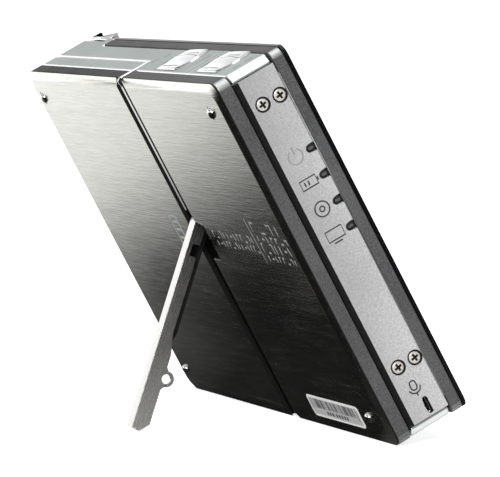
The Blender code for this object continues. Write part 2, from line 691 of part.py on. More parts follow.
def rocker_lugs(frame, body):
    """Hangs two lugs for each top rocker's pin from the frame's top wall, and bores them."""
    reach = TOP_ROCKER_HALF_MIDDLE + 2 * FIT
    half_depth = TOP_LUG_HALF_DEPTH
    for centre in TOP_ROCKER_CENTRES:
        place = (centre, TOP_ROCKER_DEPTH, TOP_PIN_HEIGHT)
        for side in (-1, 1):
            ends = sorted((side * reach, side * (reach + TOP_LUG_THICKNESS)))
            low = (ends[0], -half_depth, -TOP_LUG_REACH)
            high = (ends[1], half_depth, TOP_PIN_DROP - WALL / 2)
            join(frame, box("lug", low, high, None, body, place))
        span = reach + TOP_LUG_THICKNESS + FIT
        cut_round(frame, TOP_PIN_RADIUS + FIT / 2, "X", -span, span, place)


def rod_seat(frame, body):
    """Joins the seat of the front rockers' rod to the back of the column's panel."""
    half = ROD_SEAT_HALF
    seat_low = (-half, COLUMN_PANEL / 2 - ROD_DEPTH, WINDOW_LOW - ROD_SEAT)
    seat_high = (half, half, WINDOW_LOW - STACK_GAP)
    place = (ROD_PLACE, ROD_DEPTH, 0)
    join(frame, box("seat", seat_low, seat_high, None, body, place))
    cut_round(frame, ROD_RADIUS + FIT / 2, "Z", seat_low[2] - FIT, WINDOW_LOW, place)


def middle_frame(body):
    """Silver frame: outer walls, deck behind the screen, battery bay floor and control column."""
    back = BAND_FRONT - SEAM / 2
    frame = extruded("middle_frame", [chamfered_loop()], "Y", 0, back, SILVER, body)
    cut_bays(frame)
    for centre in TOP_ROCKER_CENTRES:
        place = (centre, TOP_ROCKER_DEPTH, 0)
        cut_outline(frame, barrel_loop(FIT), "Z", TOP_PIN_HEIGHT, BODY_HEIGHT + OVERRUN, place)
    rocker_lugs(frame, body)
    rod_seat(frame, body)
    cut_side_holes(frame, SIDE_OUTER - OVERRUN, BOSS_END + OVERRUN)
    for name, height in JACK_HEIGHTS.items():
        radius = JACK_BARREL_RADII[name] + FIT
        cut_round(frame, radius, "X", INNER_RIGHT - FIT, RIGHT + OVERRUN, (0, jack_depth(), height))
    usb_half = (USB_BODY[1] / 2 + FIT, USB_BODY[2] / 2 + FIT)
    low = (INNER_RIGHT - FIT, jack_depth() - usb_half[0], USB_HEIGHT - usb_half[1])
    high = (RIGHT + OVERRUN, jack_depth() + usb_half[0], USB_HEIGHT + usb_half[1])
    cut_box(frame, low, high)


def rear_frame(body):
    """Dark band of the lights' half, with posts for its plate's screws and speaker slots."""
    lip_left = MODULE_LIP_LEFT - SEAM / 2
    outer = left_round_loop(lip_left, CORNER_RADIUS)
    outer[-1] = (BAND_INNER, 0)
    outer += [(BAND_INNER, INNER_TOP + SEAM), (lip_left, INNER_TOP + SEAM)]
    inner = rectangle((SIDE_INNER - SEAM, WALL), (BAND_INNER - MODULE_WALL, INNER_TOP))
    front = BAND_FRONT + SEAM / 2
    frame = extruded("rear_frame", [outer, inner], "Y", front, BAND_BACK, DARK_SHELL, body)
    room = NOTCH_WALL + FIT
    wing_low = (CHANNEL_LEFT - NOTCH_WIDTH - room, BAND_FRONT, NOTCH_LOW - room)
    cut_box(frame, wing_low, (TROUGH_LEFT + FIT, BODY_DEPTH, NOTCH_HIGH + room))
    post_front = MAIN_BOARD_BACK + FIT
    for across, up in PLATE_SCREW_PLACES["rear"]:
        join_post(frame, body, across, up, post_front)
    pitch = SPEAKER_SIZE[0] / SPEAKER_SLOT_COUNT
    speaker_left = LEFT + SPEAKER_INSET
    slot_front = BAND_BACK - SPEAKER_SLOT_DEPTH - SEAM
    for index in range(SPEAKER_SLOT_COUNT):
        centre = speaker_left + pitch * (index + 1 / 2)
        low = (centre - SPEAKER_SLOT_WIDTH / 2, slot_front - SPEAKER_SLOT_DEPTH / 2, -OVERRUN)
        high = (centre + SPEAKER_SLOT_WIDTH / 2, slot_front + SPEAKER_SLOT_DEPTH / 2, WALL + OVERRUN)
        cut_box(frame, low, high)


def join_post(frame, body, across, up, front):
    """Joins a bored post for a plate screw to the nearest wall by a short web."""
    centre = (across, 0, up)
    join(frame, rod("post", POST_RADIUS, "Y", front, BAND_BACK, centre, None, body))
    in_wall = WALL / 2 if up < BODY_HEIGHT / 2 else BODY_HEIGHT - WALL / 2
    low_z, high_z = sorted((in_wall - up, 0))
    web_front = BAND_FRONT + GASKET_HALF_DEPTH + SEAM
    web_high = (WALL / 2, BAND_BACK - FIT, high_z)
    join(frame, box("web", (-WALL / 2, web_front, low_z), web_high, None, body, centre))
    bore_radius = PLATE_SCREW_SHANK_RADIUS + FIT
    cut_round(frame, bore_radius, "Y", front - OVERRUN, BODY_DEPTH, centre)


def gasket(body):
    """Black sealing ring inside the joint between the frame and the dark band."""
    low = (SIDE_INNER + SEAM, WALL + SEAM)
    high = (BAND_INNER - MODULE_WALL - SEAM, INNER_TOP - SEAM)
    inner_low = (low[0] + GASKET_THICKNESS, low[1] + GASKET_THICKNESS)
    inner_high = (high[0] - GASKET_THICKNESS, high[1] - GASKET_THICKNESS)
    loops = [rectangle(low, high), rectangle(inner_low, inner_high)]
    front = BAND_FRONT - GASKET_HALF_DEPTH
    ring = extruded("body_gasket", loops, "Y", front, BAND_FRONT + GASKET_HALF_DEPTH, RUBBER, body)
    room = NOTCH_WALL + FIT
    wing_low = (CHANNEL_LEFT - NOTCH_WIDTH - room, 0, NOTCH_LOW - room)
    cut_box(ring, wing_low, (TROUGH_LEFT, BODY_DEPTH, NOTCH_HIGH + room))


def plate_holes(plate, key):
    for across, up in PLATE_SCREW_PLACES[key]:
        cut_round(plate, PLATE_HOLE_RADIUS, "Y", BAND_FRONT, BODY_DEPTH + OVERRUN, (across, 0, up))


def rear_plate(body):
    """Brushed plate of the lights' half, bevelled on three sides, notched for a fingertip."""
    inner = CHANNEL_LEFT - SEAM / 2
    notch = CHANNEL_LEFT - NOTCH_WIDTH
    finger = [
        (inner, NOTCH_LOW), (notch, NOTCH_LOW), (notch, NOTCH_HIGH - NOTCH_SLANT), (inner, NOTCH_HIGH)]
    outer_loop = left_round_loop(inner, CORNER_RADIUS) + finger
    inset_loop = left_round_loop(inner, PLATE_RADIUS, BEVEL_INSET) + finger
    sections = [(outer_loop, PLATE_FRONT), (outer_loop, BEVEL_FRONT), (inset_loop, BODY_DEPTH)]
    plate_holes(loft("rear_plate", sections, BRUSHED, body), "rear")


def battery_plate(body):
    """Brushed plate of the battery module, bevelled on its three outer sides."""
    edge = CHANNEL_RIGHT + SEAM / 2
    outer_loop = [(edge, 0)] + right_round_corners(CORNER_RADIUS) + [(edge, BODY_HEIGHT)]
    inset_corners = right_round_corners(PLATE_RADIUS, BEVEL_INSET)
    inset_loop = [(edge, BEVEL_INSET)] + inset_corners + [(edge, BODY_HEIGHT - BEVEL_INSET)]
    sections = [(outer_loop, PLATE_FRONT), (outer_loop, BEVEL_FRONT), (inset_loop, BODY_DEPTH)]
    plate_holes(loft("battery_plate", sections, BRUSHED, body), "battery")


def battery_case(body):
    """Silver case of the battery module with its strip of the top face."""
    lip_left = MODULE_LIP_LEFT + SEAM / 2
    loop = [
        (MODULE_LEFT, 0), *chamfered_loop()[1:5],
        (lip_left, BODY_HEIGHT), (lip_left, INNER_TOP), (MODULE_LEFT, INNER_TOP)]
    front = MODULE_FRONT + SEAM / 2
    case = extruded("battery_case", [loop], "Y", front, BAND_FRONT - SEAM / 2, SILVER, body)
    under_low = (MODULE_LEFT - OVERRUN, 0, WALL)
    cut_box(case, under_low, (INNER_RIGHT, CASE_FLOOR, INNER_TOP))
    room_low = (MODULE_LEFT + MODULE_WALL, CASE_FLOOR + MODULE_FLOOR, WALL)
    cut_box(case, room_low, (INNER_RIGHT, BODY_DEPTH, INNER_TOP))
    key = contact_span()
    notch_low = (MODULE_LEFT - OVERRUN, 0, key[0].z - FIT)
    cut_box(case, notch_low, (key[1].x + FIT, key[1].y + FIT, key[1].z + FIT))


def battery_band(body):
    """Dark band of the battery module with the posts for its plate's screws."""
    lip_left = MODULE_LIP_LEFT + SEAM / 2
    lip_low = INNER_TOP + SEAM
    outer = [(MODULE_LEFT, 0)] + right_round_corners(CORNER_RADIUS)
    outer += [(lip_left, BODY_HEIGHT), (lip_left, lip_low), (MODULE_LEFT, lip_low)]
    inner = rectangle((MODULE_LEFT + MODULE_WALL, WALL), (INNER_RIGHT, INNER_TOP))
    front = BAND_FRONT + SEAM / 2
    band = extruded("battery_band", [outer, inner], "Y", front, BAND_BACK, DARK_SHELL, body)
    for across, up in PLATE_SCREW_PLACES["battery"]:
        join_post(band, body, across, up, CASE_FLOOR + MODULE_FLOOR + FIT)


def contact_span():
    """Corners of the contact block that reaches into the battery module."""
    low = Vector((MODULE_LEFT + FIT, BAY_BACK + STACK_GAP, BODY_HEIGHT - CONTACT_DROP))
    return low, low + Vector(CONTACT_SIZE)


def battery_inside(body):
    """Two flat cells and both halves of the contacts."""
    low, high = contact_span()
    box("contact_block", low, high, BLACK_PLASTIC, body)
    front = CASE_FLOOR + MODULE_FLOOR + FIT
    plate_high = Vector((high.x + FIT + CONTACT_PLATE, high.y + FIT, high.z))
    box("battery_contacts", (high.x + FIT, front, low.z), plate_high, GOLD, body)
    cell_left = plate_high.x + CELL_CLEARANCE
    middle = BODY_HEIGHT / 2
    right = INNER_RIGHT - FIT
    step = POST_RADIUS + FIT
    for index, up in enumerate((WALL + FIT, middle + SEAM)):
        high_z = middle - SEAM if index == 0 else INNER_TOP - FIT
        name = f"battery_cell_{index + 1}"
        cell = box(name, (cell_left, front, up), (right, BAND_BACK, high_z), CELL_WRAP, body)
        across, height = PLATE_SCREW_PLACES["battery"][1 - index]
        corner_low = (across - step, 0, height - step if index else 0)
        corner_high = (RIGHT, BODY_DEPTH, BODY_HEIGHT if index else height + step)
        cut_box(cell, corner_low, corner_high)


def stand_trough(body):
    """Black channel that takes the folded leg, with a solid spine above and a fingertip tray."""
    outer_low = (TROUGH_LEFT, CHANNEL_BACK - CHANNEL_FLOOR, SEAM)
    outer_high = (TROUGH_RIGHT, BAND_BACK, TROUGH_TOP)
    trough = box("stand_trough", outer_low, outer_high, BLACK_PLASTIC, body)
    tray_floor = BODY_DEPTH - NOTCH_DEPTH
    tray_left = CHANNEL_LEFT - NOTCH_WIDTH
    tray_low = (tray_left - NOTCH_WALL, tray_floor - NOTCH_WALL, NOTCH_LOW - NOTCH_WALL)
    tray_high = (TROUGH_LEFT + CHANNEL_WALL / 2, BAND_BACK, NOTCH_HIGH + NOTCH_WALL)
    join(trough, box("tray", tray_low, tray_high, None, body))
    cut_box(trough, (tray_left, tray_floor, NOTCH_LOW), (TROUGH_LEFT, BODY_DEPTH, NOTCH_HIGH))
    cut_box(trough, (tray_left, tray_floor, NOTCH_LOW), (CHANNEL_RIGHT, BODY_DEPTH, NOTCH_OPEN_HIGH))
    slot_low = (CHANNEL_LEFT, CHANNEL_BACK, -OVERRUN)
    cut_box(trough, slot_low, (CHANNEL_RIGHT, BODY_DEPTH, CHANNEL_SLOT_TOP))
    groove_front = BODY_DEPTH - TRIM_DROP - TRIM_THICKNESS - STACK_GAP
    groove_low = (CHANNEL_LEFT, groove_front, CHANNEL_SLOT_TOP - SEAM)
    cut_box(trough, groove_low, (CHANNEL_RIGHT, BODY_DEPTH, BODY_HEIGHT))
    span = (TROUGH_LEFT - OVERRUN, TROUGH_RIGHT + OVERRUN)
    cut_round(trough, PIN_RADIUS + FIT / 2, "X", *span, (0, PIVOT_DEPTH, PIVOT_HEIGHT))


def channel_trim(body):
    """Bright strip in the upper part of the channel, running out over the top face's edge."""
    middle = (CHANNEL_LEFT + CHANNEL_RIGHT) / 2
    back = BODY_DEPTH - TRIM_DROP
    low = (middle - TRIM_WIDTH / 2, back - TRIM_THICKNESS, CHANNEL_SLOT_TOP)
    high = (middle + TRIM_WIDTH / 2, back, TROUGH_TOP)
    trim = box("channel_trim", low, high, CHROME, body)
    cap_low = (low[0], back - TRIM_CAP, TROUGH_TOP - WALL)
    cap_high = (high[0], back, BODY_HEIGHT - TRIM_END_DROP)
    join(trim, box("cap", cap_low, cap_high, None, body))


def leg_point(along, depth):
    """Place on the folded leg, seen from its pin: along it, and inwards from its outer face."""
    return (LEG_PIVOT_DEPTH - depth, -along)


def ear(depth):
    """Round end of a flange about the pin, from its inner edge over the top to its outer edge."""
    start = asin((depth - LEG_PIVOT_DEPTH) / LEG_PIVOT_DEPTH)
    reach = LEG_PIVOT_DEPTH * cos(start)
    turns = [start + (-pi / 2 - start) * step / CURVE_STEPS for step in range(CURVE_STEPS + 1)]
    points = [(-LEG_PIVOT_DEPTH * cos(t), LEG_PIVOT_DEPTH + LEG_PIVOT_DEPTH * sin(t)) for t in turns]
    return [(reach, depth)] + points if reach > 0 else points


def foot():
    """Foot end of a flange from its outer face to its inner edge."""
    inner = LEG_LOWER_DEPTH
    return [
        (LEG_LENGTH - FOOT_SLANT, 0), (LEG_LENGTH, inner - FOOT_CHAMFER),
        (LEG_LENGTH - FOOT_CHAMFER, inner)]


def near_flange_loop():
    """Outline of the flange with the slot and the eyelet."""
    centre = (EYELET_PLACE, EYELET_DEPTH)
    eyelet = arc(centre, EYELET_RADIUS, 0, pi, ROUND_STEPS // 2)
    before = EYELET_PLACE - EYELET_RADIUS - EYELET_FLARE
    after = EYELET_PLACE + EYELET_RADIUS + EYELET_FLARE
    slot_end = LEG_SLOT_PLACE + LEG_SLOT_LENGTH
    slot_bottom = LEG_NEAR_DEPTH - LEG_SLOT_DEPTH
    points = foot() + [(after, LEG_LOWER_DEPTH)] + eyelet
    points += [
        (before, LEG_LOWER_DEPTH), (LEG_STEP_PLACE + LEG_STEP_RUN, LEG_LOWER_DEPTH),
        (LEG_STEP_PLACE, LEG_NEAR_DEPTH), (slot_end, LEG_NEAR_DEPTH), (slot_end, slot_bottom),
        (LEG_SLOT_PLACE, slot_bottom), (LEG_SLOT_PLACE, LEG_NEAR_DEPTH)]
    return [leg_point(*point) for point in points + ear(LEG_NEAR_DEPTH)]


def far_flange_loop():
    """Outline of the plain flange, deep above its step and shallow below it."""
    lower = LEG_FAR_LOWER_DEPTH
    points = [
        (LEG_LENGTH - FOOT_SLANT, 0), (LEG_LENGTH - FOOT_CHAMFER, lower),
        (LEG_STEP_PLACE + LEG_STEP_RUN, lower), (LEG_STEP_PLACE, LEG_FAR_DEPTH)]
    return [leg_point(*point) for point in points + ear(LEG_FAR_DEPTH)]


def stand_leg(axis):
    """Sheet-metal leg: an outer web and two flanges, bored for the pin and at the eyelet."""
    left = LEG_LEFT
    near_right = left + LEG_SHEET
    far_left = LEG_RIGHT - LEG_SHEET
    leg = extruded("stand_leg", [near_flange_loop()], "X", left, near_right, STEEL, axis)
    join(leg, extruded("far", [far_flange_loop()], "X", far_left, LEG_RIGHT, None, axis))
    web_top = leg_point(-LEG_HEEL, 0)
    web_low = (left + LEG_SHEET / 2, web_top[0] - LEG_SHEET, FOOT_SLANT - LEG_LENGTH)
    join(leg, box("web", web_low, (LEG_RIGHT - LEG_SHEET / 2, web_top[0], web_top[1]), None, axis))
    span = (left - OVERRUN, LEG_RIGHT + OVERRUN)
    cut_round(leg, PIN_RADIUS + FIT / 2, "X", *span, (0, 0, 0))
    place = leg_point(EYELET_PLACE, EYELET_DEPTH)
    cut_round(leg, EYELET_HOLE_RADIUS, "X", span[0], near_right + FIT, (0, *place))


def stand_hardware(body, axis):
    """Pin of the leg and the spring washer that holds the leg in its place."""
    centre = (0, PIVOT_DEPTH, PIVOT_HEIGHT)
    rod("stand_pin", PIN_RADIUS, "X", TROUGH_LEFT, TROUGH_RIGHT, centre, STEEL, body)
    loops = [circle((0, 0), DETENT_RADIUS), circle((0, 0), PIN_RADIUS + FIT / 2)]
    low = LEG_RIGHT + STACK_GAP
    extruded("stand_detent_spring", loops, "X", low, low + DETENT_THICKNESS, STEEL, body, centre)


def lean_angle():
    """How far the body leans back when its lower back edge and its foot are both down."""
    lowest = pi / 2
    for along, depth in foot():
        across, up = leg_point(along, depth)
        y = PIVOT_DEPTH + across * cos(OPEN_ANGLE) - up * sin(OPEN_ANGLE)
        z = PIVOT_HEIGHT + across * sin(OPEN_ANGLE) + up * cos(OPEN_ANGLE)
        lowest = min(lowest, atan2(z, y - BEVEL_FRONT))
    return lowest


def saddle_loop():
    """Cross-section of a front rocker's cap: a valley between two peaks, over a flat base."""
    half = FRONT_ROCKER_WIDTH / 2
    rise = FRONT_ROCKER_PEAK - FRONT_ROCKER_VALLEY
    crest = []
    for step in range(2 * CURVE_STEPS + 1):
        share = step / CURVE_STEPS - 1
        height = FRONT_ROCKER_VALLEY + rise * sin(share * pi / 2) ** 2
        crest.append((share * FRONT_ROCKER_PEAK_PLACE, -height))
    ends = [(half, -FRONT_ROCKER_RIM), (half, FRONT_ROCKER_BASE)]
    return crest + ends + [(-half, FRONT_ROCKER_BASE), (-half, -FRONT_ROCKER_RIM)]


def front_rocker(index, body):
    """One saddle rocker with its hub on the rod and two feet over the switches."""
    top = BODY_HEIGHT - FRONT_ROCKER_TOP_DROP - index * FRONT_ROCKER_PITCH
    centre = top - (FRONT_ROCKER_PITCH - FRONT_ROCKER_GAP) / 2
    axis = axis_empty(f"front_rocker_axis_{index + 1}", (ROD_PLACE, ROD_DEPTH, centre), body)
    half = (FRONT_ROCKER_PITCH - FRONT_ROCKER_GAP) / 2
    loop = [(across, depth - ROD_DEPTH) for across, depth in saddle_loop()]
    cap = extruded(f"front_rocker_{index + 1}", [loop], "Z", -half, half, CHROME, axis)
    base = FRONT_ROCKER_BASE - ROD_DEPTH - SEAM
    back = FRONT_HUB_DEPTH - ROD_DEPTH
    half_hub = half - FRONT_HUB_MARGIN
    hub_and_feet = (
        (0, FRONT_HUB_HALF), (FRONT_LEG_PLACE, FRONT_LEG_HALF), (-FRONT_LEG_PLACE, FRONT_LEG_HALF))
    for place, reach in hub_and_feet:
        low = (place - reach, base, -half_hub)
        join(cap, box("hub", low, (place + reach, back, half_hub), None, axis))
    cut_round(cap, ROD_RADIUS + FIT / 2, "Z", -half, half, (0, 0, 0))


def top_rocker(index, body):
    """One dished rocker of the top face with its hub, two feet and its pin."""
    place = (TOP_ROCKER_CENTRES[index], TOP_ROCKER_DEPTH, TOP_PIN_HEIGHT)
    axis = axis_empty(f"top_rocker_axis_{index + 1}", place, body)
    top = TOP_PIN_DROP + TOP_ROCKER_RISE
    skirt = TOP_PIN_DROP - TOP_ROCKER_SKIRT
    cap = extruded(f"top_rocker_{index + 1}", [barrel_loop()], "Z", skirt, top, CHROME, axis)
    dish = (TOP_ROCKER_HALF_LENGTH ** 2 + TOP_ROCKER_DISH ** 2) / (2 * TOP_ROCKER_DISH)
    wide = TOP_ROCKER_HALF_MIDDLE + OVERRUN
    middle = (0, top - TOP_ROCKER_DISH + dish)
    loop = arc(middle, dish, -pi / 2 - DISH_HALF_ANGLE, -pi / 2 + DISH_HALF_ANGLE, 2 * CURVE_STEPS)
    cut_outline(cap, loop, "X", -wide, wide)
    hub_and_feet = (
        (0, TOP_HUB_HALF_DEPTH, TOP_HUB_HALF_DEPTH),
        (TOP_LEG_PLACE, TOP_LEG_HALF, TOP_LEG_DROP), (-TOP_LEG_PLACE, TOP_LEG_HALF, TOP_LEG_DROP))
    for across, half, drop in hub_and_feet:
        low = (-TOP_HUB_HALF_WIDTH, across - half, -drop)
        join(cap, box("hub", low, (TOP_HUB_HALF_WIDTH, across + half, skirt + SEAM), None, axis))
    cut_round(cap, TOP_PIN_RADIUS + FIT / 2, "X", -TOP_HUB_HALF_WIDTH - OVERRUN, wide, (0, 0, 0))
    reach = TOP_ROCKER_HALF_MIDDLE + 2 * FIT + TOP_LUG_THICKNESS
    rod(f"top_rocker_pin_{index + 1}", TOP_PIN_RADIUS, "X", -reach, reach, place, STEEL, body)


def cross_recess(screw):
    """Cuts a cross into the face of a screw, in the screw's own frame."""
    half = CROSS_LENGTH / 2
    width = CROSS_WIDTH / 2
    for across, along in ((half, width), (width, half)):
        low = (-across, -along, -CROSS_DEPTH)
        cut(screw, box("cross", low, (across, along, OVERRUN), None, screw))


def side_screws(body):
    """Pan screws of the side panel, their heads just under its surface."""
    rim = SIDE_SCREW_RADIUS
    profile = [
        (0, 0), (rim - STACK_GAP, 0), (rim, -STACK_GAP), (rim, -SIDE_SCREW_HEAD),
        (SIDE_SCREW_SHANK_RADIUS, -SIDE_SCREW_HEAD), (SIDE_SCREW_SHANK_RADIUS, -SIDE_SCREW_LENGTH),
        (0, -SIDE_SCREW_LENGTH)]
    face = LEFT + COUNTERBORE_DEPTH - SIDE_SCREW_HEAD - STACK_GAP / 2
    places = [(face, depth, height) for height in SIDE_SCREW_HEIGHTS for depth in SIDE_SCREW_DEPTHS]
    for number, place in enumerate(places, 1):
        cross_recess(turned(f"side_screw_{number}", profile, (0, -pi / 2, 0), place, STEEL, body))


def plate_screws(body):
    """Small dome screws of the two back plates."""
    rim = PLATE_SCREW_RADIUS
    dome = [
        (rim * sin(turn), PLATE_SCREW_DOME * cos(turn))
        for turn in (pi / 2 * step / CORNER_STEPS for step in range(CORNER_STEPS + 1))]
    profile = dome + [
        (rim, -PLATE_SCREW_HEAD), (PLATE_SCREW_SHANK_RADIUS, -PLATE_SCREW_HEAD),
        (PLATE_SCREW_SHANK_RADIUS, -PLATE_SCREW_LENGTH), (0, -PLATE_SCREW_LENGTH)]
    depth = BAND_BACK + SEAM + PLATE_SCREW_HEAD
    for number, (across, up) in enumerate(sum(PLATE_SCREW_PLACES.values(), ()), 1):
        place = (across, depth, up)
        turned(f"plate_screw_{number}", profile, (-pi / 2, 0, 0), place, STEEL, body)


def status_lights(body):
    """Light pipes, the board behind them and the microphone capsule."""
    low = LEFT + STACK_GAP
    for index, height in enumerate(light_heights()):
        centre = (LIGHT_FRONT + LIGHT_LENGTH / 2, height)
        loop = pill(centre, LIGHT_LENGTH / 2, LIGHT_HEIGHT / 2)
        extruded(f"status_light_{index + 1}", [loop], "X", low, SIDE_INNER, PIPE_GREY, body)
    front = DECK_BACK + FIT
    inner = SIDE_INNER + FIT
    bottom = light_heights()[-1] - LIGHT_BOARD_MARGIN
    top = LIGHT_TOP + LIGHT_BOARD_MARGIN
    board_high = (inner + BOARD_THICKNESS, front + LIGHT_BOARD_DEPTH, top)
    box("light_board", (inner, front, bottom), board_high, BOARD_GREEN, body)
    mic = (0, MIC_DEPTH, MIC_HEIGHT)
    rod("microphone", MIC_RADIUS, "X", inner, inner + MIC_THICKNESS, mic, STEEL, body)


def drive(body):
    """Hard drive between two rubber rails."""
    low = Vector((DRIVE_LEFT, DRIVE_FRONT, DRIVE_LOW))
    high = Vector((DRIVE_RIGHT, DRIVE_BACK, DRIVE_HIGH))
    box("hard_drive", low, high, DRIVE_CASE, body)
    spans = {
        "drive_rail_lower": (WALL + FIT, low.z - FIT),
        "drive_rail_upper": (high.z + FIT, high.z + FIT + DRIVE_RAIL_TOP),
    }
    for name, (bottom, top) in spans.items():
        rail = box(name, (low.x, low.y, bottom), (high.x, high.y - FIT, top), RUBBER, body)
        cut_box(rail, (TROUGH_LEFT, BAY_FRONT - FIT, 0), (RIGHT, BODY_DEPTH, BODY_HEIGHT))


def chip(name, board_low, board_high, share, size, finish, body):
    """A block that sits behind a board, its centre at a share of the board's width and height."""
    across = board_low[0] + (board_high[0] - board_low[0]) * share[0]
    up = board_low[2] + (board_high[2] - board_low[2]) * share[1]
    front = board_high[1] + STACK_GAP
    low = (across - size[0] / 2, front, up - size[2] / 2)
    box(name, low, (across + size[0] / 2, front + size[1], up + size[2] / 2), finish, body)


def boards(body):
    """Main, video, control and switch boards with their chips, the speaker and the rockers' rod."""
    main_low = (SIDE_INNER + FIT, MAIN_BOARD_FRONT, MAIN_BOARD_LOW)
    main_high = (BAND_INNER - MODULE_WALL + SEAM, MAIN_BOARD_BACK, BODY_HEIGHT - MAIN_BOARD_DROP)
    box("main_board", main_low, main_high, BOARD_GREEN, body)
    chip("decoder_chip", main_low, main_high, DECODER_PLACE_SHARE, DECODER_SIZE, CHIP_BLACK, body)
    chip("shield_can", main_low, main_high, SHIELD_PLACE_SHARE, SHIELD_SIZE, DRIVE_CASE, body)
    front = DECK_BACK + FIT
    video_low = (VIDEO_BOARD_LEFT, front, VIDEO_BOARD_MARGIN)
    video_high = (VIDEO_BOARD_RIGHT, front + BOARD_THICKNESS, BODY_HEIGHT - VIDEO_BOARD_MARGIN)
    box("video_board", video_low, video_high, BOARD_GREEN, body)
    place_share = PROCESSOR_PLACE_SHARE
    chip("processor_chip", video_low, video_high, place_share, PROCESSOR_SIZE, CHIP_BLACK, body)
    control_front = FRONT_HUB_DEPTH + FIT + STACK_GAP
    control_low = (COLUMN_WALL_RIGHT + FIT, control_front, WINDOW_LOW)
    control_high = (INNER_RIGHT - FIT, control_front + BOARD_THICKNESS, video_high[2])
    box("control_board", control_low, control_high, BOARD_GREEN, body)
    switch_top = TOP_PIN_HEIGHT - TOP_LEG_DROP - FIT - STACK_GAP / 2
    switch_left = TOP_ROCKER_CENTRES[-1] - TOP_ROCKER_HALF_MIDDLE - SWITCH_BOARD_MARGIN
    switch_right = TOP_ROCKER_CENTRES[0] + TOP_ROCKER_HALF_MIDDLE + SWITCH_BOARD_MARGIN
    switch_low = (switch_left, front, switch_top - BOARD_THICKNESS)
    switch_high = (switch_right, MAIN_BOARD_BACK, switch_top)
    box("top_switch_board", switch_low, switch_high, BOARD_GREEN, body)
    speaker_low = Vector((LEFT + SPEAKER_INSET, MAIN_BOARD_BACK + STACK_GAP, SPEAKER_LOW))
    box("speaker", speaker_low, speaker_low + Vector(SPEAKER_SIZE), BLACK_PLASTIC, body)
    rod_low = WINDOW_LOW - ROD_SEAT
    centre = (ROD_PLACE, ROD_DEPTH, 0)
    rod("front_rocker_rod", ROD_RADIUS, "Z", rod_low, INNER_TOP - FIT, centre, STEEL, body)


def jack_depth():
    """Depth of the sockets' centre line, with the sockets just in front of their board."""
    return BAY_FRONT - BOARD_THICKNESS - 2 * FIT - JACK_BODY[1] / 2


def sockets(body):
    """Round sockets, the flat data socket and the board that carries them."""
    depth = jack_depth()
    wall = INNER_RIGHT - FIT
    mouth = RIGHT - SEAM
    board_front = depth + JACK_BODY[1] / 2 + FIT
    board_low = (COLUMN_WALL_RIGHT + FIT, board_front, WALL + FIT)
    board_top = USB_HEIGHT + USB_BODY[2] / 2 + JACK_BOARD_MARGIN
    board_high = (wall, board_front + BOARD_THICKNESS, board_top)
    box("jack_board", board_low, board_high, BOARD_GREEN, body)
    for name, height in JACK_HEIGHTS.items():
        low = (wall - JACK_BODY[0], -JACK_BODY[1] / 2, -JACK_BODY[2] / 2)
        high = (wall, JACK_BODY[1] / 2, JACK_BODY[2] / 2)
        place = (0, depth, height)
        jack = box(name, low, high, BLACK_PLASTIC, body, place)
        join(jack, rod("barrel", JACK_BARREL_RADII[name], "X", wall - WALL, mouth, place, None, body))
        cut_round(jack, JACK_BORE_RADII[name], "X", mouth - JACK_BORE_DEPTH, mouth + OVERRUN, place)
    usb_low = (mouth - USB_BODY[0], -USB_BODY[1] / 2, -USB_BODY[2] / 2)
    usb_high = (mouth, USB_BODY[1] / 2, USB_BODY[2] / 2)
    port = box("usb_port", usb_low, usb_high, DRIVE_CASE, body, (0, depth, USB_HEIGHT))
    mouth_low = (mouth - USB_MOUTH[0], -USB_MOUTH[1] / 2, -USB_MOUTH[2] / 2)
    cut_box(port, mouth_low, (mouth + OVERRUN, USB_MOUTH[1] / 2, USB_MOUTH[2] / 2))


def stand_up(body):
    """Leans the body back and puts its lowest, middle point at the world's origin."""
    body.rotation_euler = (-lean_angle(), 0, 0)
    bpy.context.view_layer.update()
    graph = bpy.context.evaluated_depsgraph_get()
    corners = []
    for piece in collection(PART_NAME).objects:
        if piece.type == "MESH":
            mesh = piece.evaluated_get(graph).to_mesh()
            corners += [piece.matrix_world @ vert.co for vert in mesh.vertices]
    low = Vector([min(corner[axis] for corner in corners) for axis in range(3)])
    high = Vector([max(corner[axis] for corner in corners) for axis in range(3)])
    body.location -= Vector(((low.x + high.x) / 2, (low.y + high.y) / 2, low.z))


def build():
    """Builds every piece of the player."""
    for old in list(bpy.data.objects):
        bpy.data.objects.remove(old, do_unlink=True)
    body = axis_empty("player", (0, 0, 0))
    screen_pieces(body)
    middle_frame(body)
    side_panel(body)
    rear_frame(body)
    gasket(body)
    rear_plate(body)
    battery_case(body)
    battery_band(body)
    battery_plate(body)
    battery_inside(body)
    stand_trough(body)
    channel_trim(body)
    leg_axis = axis_empty("stand_axis", (0, PIVOT_DEPTH, PIVOT_HEIGHT), body)
    leg_axis.rotation_euler = (OPEN_ANGLE, 0, 0)
    stand_leg(leg_axis)
    stand_hardware(body, leg_axis)
    for index in range(FRONT_ROCKER_COUNT):
        front_rocker(index, body)
    for index in range(len(TOP_ROCKER_CENTRES)):
        top_rocker(index, body)
    side_screws(body)
    plate_screws(body)
    status_lights(body)
    drive(body)
    boards(body)
    sockets(body)
    stand_up(body)


build()
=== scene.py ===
"""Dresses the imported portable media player: finishes, rounded edges, markings, stage and camera."""

import json
from math import atan2, cos, pi, radians, sin, sqrt

import bmesh
import bpy
from mathutils import Matrix, Vector


